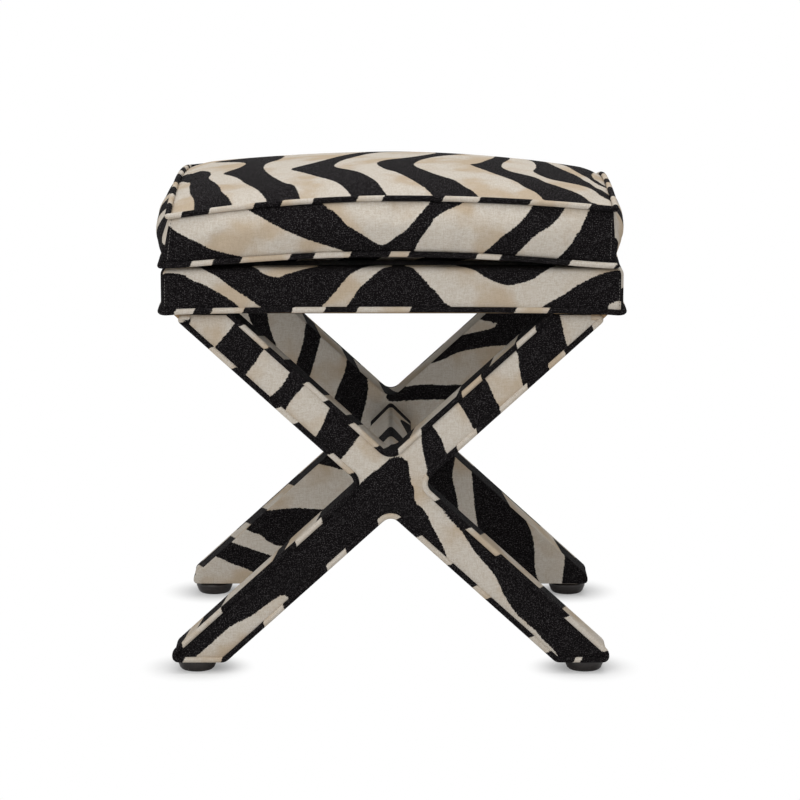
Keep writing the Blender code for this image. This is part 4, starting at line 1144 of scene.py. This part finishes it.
def x_cover_mesh(name, sign, under):
    """Both faces and the bands of one X; sign is -1 at the front and 1 at the back."""
    sizes = settings().sizes
    around, upper = x_corners(0.0, FRAME_HIGH.z, under)
    outline = rounded(around + upper)
    bm = bmesh.new()
    outer = bm.faces.new([bm.verts.new((p.x, sign * FACE_Y, p.y)) for p in outline])
    swept = bmesh.ops.extrude_face_region(bm, geom=[outer])["geom"]
    moved = [item for item in swept if isinstance(item, bmesh.types.BMVert)]
    bmesh.ops.translate(bm, vec=(0.0, sign * (INNER_Y - FACE_Y), 0.0), verts=moved)
    for level, width, turns in ((FACE_Y, OUTER_HEM, 3), (INNER_Y, sizes.cloth, 2)):
        hem = [e for e in bm.edges if all(abs(abs(v.co.y) - level) < WELD for v in e.verts)]
        bevelled(bm, hem, width, turns)
    step = ARM_HALF / ARM_STEPS
    reach = int(ARM_MARGIN * ARM_SPAN.length / 2 / step) + ARM_STEPS
    offsets = [step * k for k in range(-reach, reach + 1)]
    for lean in (1, -1):
        sliced(bm, (-lean * math.sin(ARM_ANGLE), 0.0, math.cos(ARM_ANGLE)), (0.0, 0.0, CROSSING_Z), offsets)
    sliced(bm, (0.0, 1.0, 0.0), (0.0, 0.0, 0.0), [sign * y for y in evenly(INNER_Y, FACE_Y, BAND_STEP)])
    bmesh.ops.triangulate(bm, faces=[f for f in bm.faces if len(f.verts) > 4])
    bmesh.ops.recalc_face_normals(bm, faces=bm.faces)
    bm.normal_update()

    line = np.array([tuple(p) for p in outline])
    split = len(rounded(around + upper[:1] + upper[-1:])) - 2
    side_length = np.sqrt((np.diff(line[:split], axis=0) ** 2).sum(axis=1)).sum()
    verts = np.array([(v.co.x, v.co.z) for v in bm.verts])
    reached = along_outline(line, verts)
    inset = depth_inside(line, verts)
    bm.verts.index_update()
    uv, panel = print_layers(bm)
    padded = set()
    for face in bm.faces:
        facing = face.normal.y * sign
        if facing > FACING:
            part = "outer"
            padded.update(face.verts)
        elif facing < -FACING:
            part = "inner"
        else:
            middle = np.mean([reached[v.index] for v in face.verts])
            part = "side_band" if middle < side_length else "top_band"
        face[panel] = X_PANELS.index(part)
        base = side_length if part == "top_band" else 0.0
        for loop in face.loops:
            vert = loop.vert
            if part == "outer":
                loop[uv].uv = (-sign * vert.co.x, vert.co.z)
            elif part == "inner":
                loop[uv].uv = (sign * vert.co.x, vert.co.z)
            else:
                loop[uv].uv = (reached[vert.index] - base, FACE_Y - sign * vert.co.y)
    for vert in padded:
        vert.co.y += sign * sizes.face_pad * (1 - math.exp(-max(inset[vert.index], 0.0) / PAD_FADE))
    return finished(name, bm)


def x_cord_path(points, sign):
    """The line of a cord on an X frame's outer face."""
    seat = sign * (FACE_Y + CORD_SEAT)
    return [Vector((p.x * -sign, seat, p.y)) for p in divided(points, CORD_STEP, False)]


# The deck

def deck_mesh(name):
    """The deck's cover: four walls turned over a rounded edge on to the top, open below."""
    sizes = settings().sizes
    low = DECK_SEAM_Z - (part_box("deck_rail_front")[0][2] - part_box("dust_cover")[0][2])
    bm = bmesh.new()
    bmesh.ops.create_cube(bm, size=1.0)
    tall = DECK_TOP_Z - low
    bmesh.ops.scale(bm, vec=(2 * DECK_HALF.x, 2 * DECK_HALF.y, tall), verts=bm.verts)
    bmesh.ops.translate(bm, vec=(0.0, 0.0, (low + DECK_TOP_Z) / 2), verts=bm.verts)
    bevelled(bm, edges_along(bm, 2), DECK_CORNER, turns=6)
    rim = [e for e in bm.edges if min(v.co.z for v in e.verts) > DECK_TOP_Z - WELD]
    bevelled(bm, rim, DECK_RIM, turns=5)
    bmesh.ops.delete(bm, geom=[f for f in bm.faces if f.normal.z < -FACING], context="FACES_ONLY")
    sliced(bm, (1, 0, 0), (0, 0, 0), evenly(-DECK_HALF.x, DECK_HALF.x, DECK_STEP))
    sliced(bm, (0, 1, 0), (0, 0, 0), evenly(-DECK_HALF.y, DECK_HALF.y, DECK_STEP))
    sliced(bm, (0, 0, 1), (0, 0, 0), evenly(low, DECK_TOP_Z, DECK_STEP))
    for axis in (0, 1):
        normal = Vector((axis == 0, axis == 1, 0))
        sliced(bm, normal, (0, 0, 0), (-WINDOW_HALF[axis], WINDOW_HALF[axis]))
    bmesh.ops.triangulate(bm, faces=[f for f in bm.faces if len(f.verts) > 4])
    bm.normal_update()
    for vert in bm.verts:
        vert.co.z += (DECK_TOP_Z - vert.co.z) / tall * deck_rise(vert.co)
    uv, panel = print_layers(bm)
    for face in bm.faces:
        middle = face.calc_center_median()
        out = Vector((abs(middle.x) - DECK_HALF.x, abs(middle.y) - DECK_HALF.y))
        if abs(middle.x) < WINDOW_HALF.x and abs(middle.y) < WINDOW_HALF.y:
            face[panel] = len(SIDES)
            face.material_index = 1
        elif out.x > out.y:
            face[panel] = SIDES.index("right" if middle.x > 0 else "left")
        else:
            face[panel] = SIDES.index("back" if middle.y > 0 else "front")
        for loop in face.loops:
            x, y, z = loop.vert.co
            if face[panel] == len(SIDES):
                loop[uv].uv = (x, y)
                continue
            side = SIDES[face[panel]]
            turned = DECK_HALF.y - abs(y) if side in ("front", "back") else DECK_HALF.x - abs(x)
            loop[uv].uv = (seen_along(side, x + deck_ease(x), y), z - low + max(turned, 0.0))
    for vert in bm.verts:
        vert.co.x += deck_ease(vert.co.x)
    bmesh.ops.solidify(bm, geom=bm.faces[:], thickness=sizes.cloth)
    return finished(name, bm)


def deck_rise(place):
    """How far the hem rises between the deck's corners."""
    u, v = place.x / DECK_HALF.x, place.y / DECK_HALF.y
    return settings().sizes.deck_arch * max(1 - (u * v) ** 2, 0.0) ** HEM_POWER


def deck_ease(across):
    """How far the cover stands out towards the right."""
    return settings().sizes.deck_ease * max(across / DECK_HALF.x, 0.0) ** 2


def deck_cord_path():
    """The line of the cord round the deck's hem, from the front left corner round to the right."""
    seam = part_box("deck_welt")
    height = (seam[0][2] + seam[1][2]) / 2
    half = DECK_HALF + Vector((CORD_SEAT, CORD_SEAT))
    points = divided(rounded_box(half, DECK_CORNER), CORD_STEP, True)
    return [Vector((p.x + deck_ease(p.x), p.y, height + deck_rise(p))) for p in points]


def slab(name, low, high, corner, edge):
    """A flat piece with rounded corners and softened edges."""
    low, high = Vector(low), Vector(high)
    bm = bmesh.new()
    bmesh.ops.create_cube(bm, size=1.0)
    bmesh.ops.scale(bm, vec=high - low, verts=bm.verts)
    bmesh.ops.translate(bm, vec=(low + high) / 2, verts=bm.verts)
    bevelled(bm, edges_along(bm, 2), corner, turns=5)
    rims = [e for e in bm.edges if abs(e.verts[0].co.z - e.verts[1].co.z) < WELD]
    bevelled(bm, rims, edge, turns=2)
    return finished(name, bm)


def dust_mesh(name, low, high):
    """A thin flat sheet between two corners."""
    across, deep = DUST_STEPS
    bm = bmesh.new()
    bmesh.ops.create_grid(bm, x_segments=across, y_segments=deep, size=0.5)
    bmesh.ops.scale(bm, vec=(high.x - low.x, high.y - low.y, 1.0), verts=bm.verts)
    bmesh.ops.translate(bm, vec=(0.0, 0.0, high.z), verts=bm.verts)
    bmesh.ops.recalc_face_normals(bm, faces=bm.faces)
    bmesh.ops.solidify(bm, geom=bm.faces[:], thickness=high.z - low.z)
    return finished(name, bm)


# The stretcher's sleeve

def round_from_ridge(x, z):
    """How far round from the upper ridge the print counts a place, which is less than along the cloth."""
    return (STRETCHER_HIGH.x - z) / math.sqrt(2.0) + abs(x) / math.sqrt(2.0) / 2


def sleeve_mesh(name):
    """The sleeve of a square stretcher that lies on its corner, open at both ends."""
    side = (STRETCHER_HIGH.x + RIDGE_RADIUS * (math.sqrt(2.0) - 1)) * math.sqrt(2.0)
    length = STRETCHER_HIGH.y - STRETCHER_LOW.y
    bm = bmesh.new()
    bmesh.ops.create_cube(bm, size=1.0)
    bmesh.ops.scale(bm, vec=(side, length, side), verts=bm.verts)
    bmesh.ops.delete(bm, geom=[f for f in bm.faces if abs(f.normal.y) > FACING], context="FACES_ONLY")
    bevelled(bm, edges_along(bm, 1), RIDGE_WIDTH, turns=5)
    sliced(bm, (0, 1, 0), (0, 0, 0), evenly(-length / 2, length / 2, SLEEVE_STEP))
    for normal in ((1, 0, 0), (0, 0, 1)):
        sliced(bm, normal, (0, 0, 0), evenly(-side / 2, side / 2, SLEEVE_STEP))
    turn = Matrix.Rotation(math.pi / 4, 3, "Y")
    bmesh.ops.rotate(bm, matrix=turn, cent=(0, 0, 0), verts=bm.verts)
    bm.normal_update()
    uv, panel = print_layers(bm)
    for face in bm.faces:
        face[panel] = 0
        way = 1 if face.calc_center_median().x > 0 else -1
        for loop in face.loops:
            x, y, z = loop.vert.co
            loop[uv].uv = (way * round_from_ridge(x, z), y)
    bmesh.ops.translate(bm, vec=(0.0, 0.0, CROSSING_Z), verts=bm.verts)
    bmesh.ops.recalc_face_normals(bm, faces=bm.faces)
    bmesh.ops.solidify(bm, geom=bm.faces[:], thickness=settings().sizes.cloth)
    return finished(name, bm)


# The glides

def glide_section(radius, top, hole):
    """Half the section of a glide: out along its top, down to the sole and up into the nail head's hole."""
    rim = [(GLIDE_BORE, top), (radius - GLIDE_EDGE, top), (radius, top - GLIDE_EDGE),
           (radius, top - GLIDE_RIM)]
    foot = [(radius - GLIDE_FOOT_IN, GLIDE_FOOT_UP), (radius - GLIDE_SOLE_IN, 0.0)]
    bore = [(hole + GLIDE_MOUTH, 0.0), (hole, GLIDE_MOUTH), (hole, GLIDE_SINK), (GLIDE_BORE, GLIDE_SINK)]
    return rim + foot + bore


# The stitches

def stitch_mesh(name, places):
    """A row of needle stitches: each place is a point and the way that the thread lies."""
    bm = bmesh.new()
    for point, along in places:
        made = bmesh.ops.create_icosphere(bm, subdivisions=1, radius=1.0)["verts"]
        bmesh.ops.scale(bm, vec=(STITCH_RADIUS, STITCH_RADIUS, STITCH_LENGTH / 2), verts=made)
        turn = along.to_track_quat("Z", "Y").to_matrix()
        bmesh.ops.rotate(bm, matrix=turn, cent=(0, 0, 0), verts=made)
        bmesh.ops.translate(bm, vec=point, verts=made)
    return finished(name, bm)


# Operators: one for each piece or group of like pieces, and one for the stage

class BENCH_OT_cushion_cover(Operator):
    """Sews the box cushion's cover, fills it and prints it"""

    bl_idname = "bench.cushion_cover"
    bl_label = "Cushion cover"

    def execute(self, context):
        bm, seams = cushion_bmesh()
        replaced = ["cushion_foam", "cushion_top_panel", "cushion_bottom_panel"]
        replaced += ["cushion_boxing_" + side for side in SIDES]
        piece = add_piece("cushion_cover", finished("cushion_cover", bm), [], "cushion",
                          replaced)
        swell(piece, seams)
        finer = piece.modifiers.new("finer", "SUBSURF")
        finer.levels = finer.render_levels = 1
        mesh = applied(piece)
        walls = [drawn(CUSHION_FRONT), drawn(CUSHION_SIDE)] * 2
        lay_print(mesh, [drawn(CUSHION_TOP)] * 2 + walls)
        mesh.materials.append(material_once(striped_linen))
        return {"FINISHED"}


class BENCH_OT_cushion_cords(Operator):
    """Runs the covered cords along the cushion's two seams"""

    bl_idname = "bench.cushion_cords"
    bl_label = "Cushion cords"

    def execute(self, context):
        seams = (("top", 1, CUSHION_TOP_CORD_PALE), ("bottom", -1, CUSHION_LOW_CORD_PALE))
        for name, level, pale in seams:
            add_cord("cushion_" + name + "_cord", cushion_cord_path(level), Vector((0, 0, 1)), True,
                     CORD_SIDES // 2, pale, "cushion", "cushion_" + name + "_welt")
        return {"FINISHED"}


class BENCH_OT_deck_cover(Operator):
    """Covers the deck and runs the cord round its hem"""

    bl_idname = "bench.deck_cover"
    bl_label = "Deck cover"

    def execute(self, context):
        mesh = deck_mesh("deck_cover")
        walls = [drawn(DECK_FRONT), drawn(DECK_SIDE)] * 2
        lay_print(mesh, walls + [None])
        replaced = ["deck_boxing_" + side for side in SIDES] + ["deck_top_cloth"]
        cloths = [material_once(striped_linen), material_once(plain_cloth, "deck_top_linen")]
        add_piece("deck_cover", mesh, cloths, "frame", replaced)
        add_cord("deck_cord", deck_cord_path(), Vector((0, 0, 1)), True, CORD_SIDES // 2, DECK_CORD_PALE,
                 "frame", "deck_welt")
        return {"FINISHED"}


class BENCH_OT_deck_layers(Operator):
    """Lays the felt under the deck's cover and the dust cloth below it"""

    bl_idname = "bench.deck_layers"
    bl_label = "Felt and dust cloth"

    def execute(self, context):
        felt = material_once(plain_cloth, "grey_felt")
        low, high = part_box("deck_pad")
        mesh = slab("deck_felt", low, high, FELT_CORNER, FELT_EDGE)
        add_piece("deck_felt", mesh, [felt], "frame", ["deck_pad"])
        dust = material_once(plain_cloth, "black_dust_cloth")
        low, high = (Vector(corner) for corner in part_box("dust_cover"))
        mesh = dust_mesh("dust_sheet", low, high)
        sheet = add_piece("dust_sheet", mesh, [dust], "frame", ["dust_cover"])
        return {"FINISHED"}


class BENCH_OT_x_covers(Operator):
    """Covers the two X frames and runs cords round their outer faces"""

    bl_idname = "bench.x_covers"
    bl_label = "X frame covers"

    def execute(self, context):
        for end, sign, hidden in (("front", -1, CORD_SIDES // 4), ("rear", 1, 3 * CORD_SIDES // 4)):
            # The rear top band's pale runs are partly painted highlight, laid as pale print
            prints = [drawn(FACE_OUTER), drawn(FACE_INNER), banded(SIDE_BAND_PALE[end], BAND_SLANT),
                      banded(TOP_BAND_PALE_AND_HIGHLIGHT[end], BAND_SLANT)]
            around, upper = x_corners(-CORD_INSET[end], FRAME_HIGH.z - CORD_DROP, CORD_UNDER[end])
            start_x, start_z, _ = around[0]
            ends = [(start_x + CORD_START, start_z, 0.0), (-start_x - CORD_START, start_z, 0.0)]
            paths = (("side", rounded(ends[:1] + around + ends[1:], closed=False), SIDE_CORD_PALE),
                     ("top", rounded(upper, closed=False), TOP_CORD_PALE))
            mesh = x_cover_mesh(end + "_cover", sign, COVER_UNDER[end])
            lay_print(mesh, prints)
            nodes = ("_face_outer", "_face_inner", "_boxing_side", "_boxing_top")
            replaced = [end + node for node in nodes]
            add_piece(end + "_cover", mesh, [material_once(striped_linen)], "frame",
                      replaced)
            for part, points, pale in paths:
                add_cord(end + "_" + part + "_cord", x_cord_path(points, sign), Vector((0, 1, 0)), False,
                         hidden, pale, "frame", end + "_welt_" + part)
        return {"FINISHED"}


class BENCH_OT_stretcher_cover(Operator):
    """Sleeves the stretcher, which lies on its corner"""

    bl_idname = "bench.stretcher_cover"
    bl_label = "Stretcher sleeve"

    def execute(self, context):
        mesh = sleeve_mesh("stretcher_cover")
        lay_print(mesh, [drawn(SLEEVE)])
        add_piece("stretcher_cover", mesh, [material_once(striped_linen)], "frame",
                  ["stretcher_sleeve"])
        return {"FINISHED"}


class BENCH_OT_corner_stitches(Operator):
    """Sews the upright corner seams of the cushion and the deck"""

    bl_idname = "bench.corner_stitches"
    bl_label = "Corner stitches"

    def execute(self, context):
        thread = material_once(sewing_thread)
        below, above = DECK_STITCH_ENDS
        deck_span = (DECK_SEAM_Z + below, DECK_TOP_Z - above)
        below, above = CUSHION_STITCH_ENDS
        cushion_span = (CUSHION_Z + below, CUSHION_Z + BOXING_HEIGHT - above)
        rows = (("deck", "frame", DECK_HALF, DECK_STITCH_INSET, deck_span),
                ("cushion", "cushion", CUSHION_LOW_HALF, CUSHION_STITCH_INSET, cushion_span))
        for name, body, half, inset, (low, high) in rows:
            cover = bpy.data.objects[name + "_cover"]
            places = []
            for side_x in (-1, 1):
                for side_y in (-1, 1):
                    for z in evenly(low, high, STITCH_PITCH):
                        ease = deck_ease(side_x * half.x)
                        if name == "cushion":
                            ease = corner_stray(side_x, side_y, 2 * (z - CUSHION_Z) / BOXING_HEIGHT - 1).x
                        guess = Vector((side_x * (half.x - inset) + ease, side_y * half.y, z))
                        found, spot, normal, _ = cover.closest_point_on_mesh(guess)
                        if not found:
                            raise RuntimeError("no cloth under the stitches of the " + name)
                        places.append((spot + normal * STITCH_SEAT, Vector((0, 0, 1))))
            mesh = stitch_mesh(name + "_stitches", places)
            add_piece(name + "_stitches", mesh, [thread], body)
        return {"FINISHED"}


class BENCH_OT_glides(Operator):
    """Turns the four glides"""

    bl_idname = "bench.glides"
    bl_label = "Glides"

    def execute(self, context):
        plastic = material_once(glide_plastic)
        for end in ("front", "rear"):
            for side in ("left", "right"):
                place = end + "_" + side
                low, high = (Vector(corner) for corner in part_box("glide_" + place))
                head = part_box("glide_nail_" + place)
                hole = (head[1][0] - head[0][0]) / 2 + REST_GAP
                section = glide_section((high.x - low.x) / 2, high.z, hole)
                bm = bmesh.new()
                points = [bm.verts.new((r, 0.0, z)) for r, z in section]
                edges = [bm.edges.new(pair) for pair in zip(points, points[1:] + points[:1])]
                bmesh.ops.spin(bm, geom=points + edges, cent=(0, 0, 0), axis=(0, 0, 1), angle=2 * math.pi,
                               steps=TURN_STEPS, use_merge=True)
                middle = ((low.x + high.x) / 2, (low.y + high.y) / 2, 0.0)
                bmesh.ops.translate(bm, vec=middle, verts=bm.verts)
                mesh = finished("glide_cap_" + place, bm)
                piece = add_piece("glide_cap_" + place, mesh, [plastic], "frame",
                                  ["glide_" + place])
                soft = piece.modifiers.new("soft", "BEVEL")
                soft.width = GLIDE_SOFT
                soft.segments = 2
        return {"FINISHED"}


class BENCH_OT_inner_finishes(Operator):
    """Gives the timber, the board and the fasteners their finish"""

    bl_idname = "bench.inner_finishes"
    bl_label = "Inner finishes"

    def execute(self, context):
        turns = {
            "timber_across": (0.0, 0.0, 0.0),
            "timber_deep": (0.0, 0.0, math.pi / 2),
            "timber_rising": (0.0, ARM_ANGLE, 0.0),
            "timber_falling": (0.0, -ARM_ANGLE, 0.0),
        }
        woods = {name: material_once(timber, name, turn) for name, turn in turns.items()}
        for name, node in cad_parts.items():
            finish = None
            if name.startswith(("stretcher_bolt", "leg_bolt", "glide_nail")):
                finish = material_once(zinc_steel)
            elif name == "deck_board":
                finish = material_once(birch_ply)
            elif name in ("deck_rail_front", "deck_rail_back"):
                finish = woods["timber_across"]
            elif name.startswith(("deck_rail", "corner_block", "stretcher_beam")):
                finish = woods["timber_deep"]
            elif "_leg_" in name:
                rising = name.startswith("front") == name.endswith("outer_lap")
                finish = woods["timber_rising" if rising else "timber_falling"]
            if finish:
                for slot in node.material_slots:
                    slot.material = finish
        return {"FINISHED"}


class BENCH_OT_stage(Operator):
    """Sets the floor, the light and the camera"""

    bl_idname = "bench.stage"
    bl_label = "Stage"

    def execute(self, context):
        scene = context.scene
        stage = settings().stage
        scene.view_settings.view_transform = "Standard"
        camera_data = bpy.data.cameras.new("camera")
        camera_data.lens = stage.lens
        camera_data.sensor_width = SENSOR_WIDTH
        camera_data.shift_x = stage.shift
        camera_data.clip_end = FAR_CLIP
        camera = bpy.data.objects.new("camera", camera_data)
        camera.location = stage.eye
        camera.rotation_euler = (stage.tilt, 0.0, 0.0)
        scene.collection.objects.link(camera)
        scene.camera = camera
        self.lay_floor(scene, stage)
        self.hang_lamps(scene, stage)
        self.paint_sky(scene, stage)
        return {"FINISHED"}

    def lay_floor(self, scene, stage):
        bm = bmesh.new()
        bmesh.ops.create_grid(bm, x_segments=1, y_segments=1, size=stage.floor / 2)
        floor = bpy.data.objects.new("floor", finished("floor", bm, smooth=False))
        scene.collection.objects.link(floor)
        material, tree, shader = new_material("floor")
        shader.inputs["Base Color"].default_value = rgba([FLOOR_GREY] * 3)
        shader.inputs["Roughness"].default_value = 0.9
        shader.inputs["Specular IOR Level"].default_value = 0.0
        low, high = (Vector(corner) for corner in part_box("glide_rear_right"))
        sockets = {0: object_place(tree)}
        mirrored = add_node(tree, "ShaderNodeVectorMath", sockets, operation="ABSOLUTE").outputs["Vector"]
        sockets = {0: mirrored, 1: ((low.x + high.x) / 2, (low.y + high.y) / 2, 0.0)}
        away = add_node(tree, "ShaderNodeVectorMath", sockets, operation="DISTANCE").outputs["Value"]
        plain = ramp(tree, away, *SHADE_REACH, SHADE_LEAST, 1.0)
        camera_ray = add_node(tree, "ShaderNodeLightPath").outputs["Is Camera Ray"]
        white = add_node(tree, "ShaderNodeEmission", {"Color": (1, 1, 1, 1), "Strength": 1.0})
        mix = add_node(tree, "ShaderNodeMixShader", {0: math_node(tree, "MULTIPLY", plain, camera_ray),
                                                     1: shader.outputs[0], 2: white.outputs[0]})
        tree.links.new(mix.outputs[0], tree.nodes["Material Output"].inputs["Surface"])
        floor.data.materials.append(material)

    def hang_lamps(self, scene, stage):
        for name, power in (("key", stage.key), ("overhead", stage.fill)):
            data = bpy.data.lights.new(name, "AREA")
            data.energy = power
            data.size = LAMP_SIZES[name]
            lamp = bpy.data.objects.new(name, data)
            lamp.location = LAMP_PLACES[name]
            aim = LAMP_AIM - Vector(LAMP_PLACES[name])
            lamp.rotation_euler = aim.to_track_quat("-Z", "Y").to_euler()
            scene.collection.objects.link(lamp)

    def paint_sky(self, scene, stage):
        world = bpy.data.worlds.new("studio")
        scene.world = world
        world.use_nodes = True
        tree = world.node_tree
        light = tree.nodes["Background"]
        light.inputs["Color"].default_value = (1.0, 1.0, 1.0, 1.0)
        light.inputs["Strength"].default_value = stage.sky
        backdrop = add_node(tree, "ShaderNodeBackground", {"Color": (1, 1, 1, 1), "Strength": 1.0})
        ray = add_node(tree, "ShaderNodeLightPath").outputs
        seen = math_node(tree, "MAXIMUM", ray["Is Camera Ray"],
                         math_node(tree, "MAXIMUM", ray["Is Glossy Ray"], ray["Is Transmission Ray"]))
        mix = add_node(tree, "ShaderNodeMixShader", {0: seen, 1: light.outputs[0], 2: backdrop.outputs[0]})
        tree.links.new(mix.outputs[0], tree.nodes["World Output"].inputs["Surface"])


STEPS = (BENCH_OT_cushion_cover, BENCH_OT_cushion_cords, BENCH_OT_deck_cover, BENCH_OT_deck_layers,
         BENCH_OT_x_covers, BENCH_OT_stretcher_cover, BENCH_OT_corner_stitches, BENCH_OT_glides,
         BENCH_OT_inner_finishes, BENCH_OT_stage)


class BENCH_PT_panel(Panel):
    """Lists the pieces and their settings"""

    bl_label = "X-frame bench"
    bl_idname = "BENCH_PT_panel"
    bl_space_type = "VIEW_3D"
    bl_region_type = "UI"
    bl_category = "Bench"

    def draw(self, context):
        layout = self.layout
        bench = context.scene.bench
        for group in (bench.cloth, bench.sizes, bench.stage):
            box = layout.box()
            for name in group.bl_rna.properties.keys():
                if name not in ("rna_type", "name"):
                    box.prop(group, name)
        for step in STEPS:
            layout.operator(step.bl_idname)


CLASSES = (ClothSettings, SizeSettings, StageSettings, BenchSettings) + STEPS + (BENCH_PT_panel,)


def register():
    for item in CLASSES:
        bpy.utils.register_class(item)
    bpy.types.Scene.bench = PointerProperty(type=BenchSettings)


def unregister():
    del bpy.types.Scene.bench
    for item in reversed(CLASSES):
        bpy.utils.unregister_class(item)


def main():
    register()
    for step in STEPS:
        group, name = step.bl_idname.split(".")
        getattr(getattr(bpy.ops, group), name)()


if __name__ == "__main__":
    main()
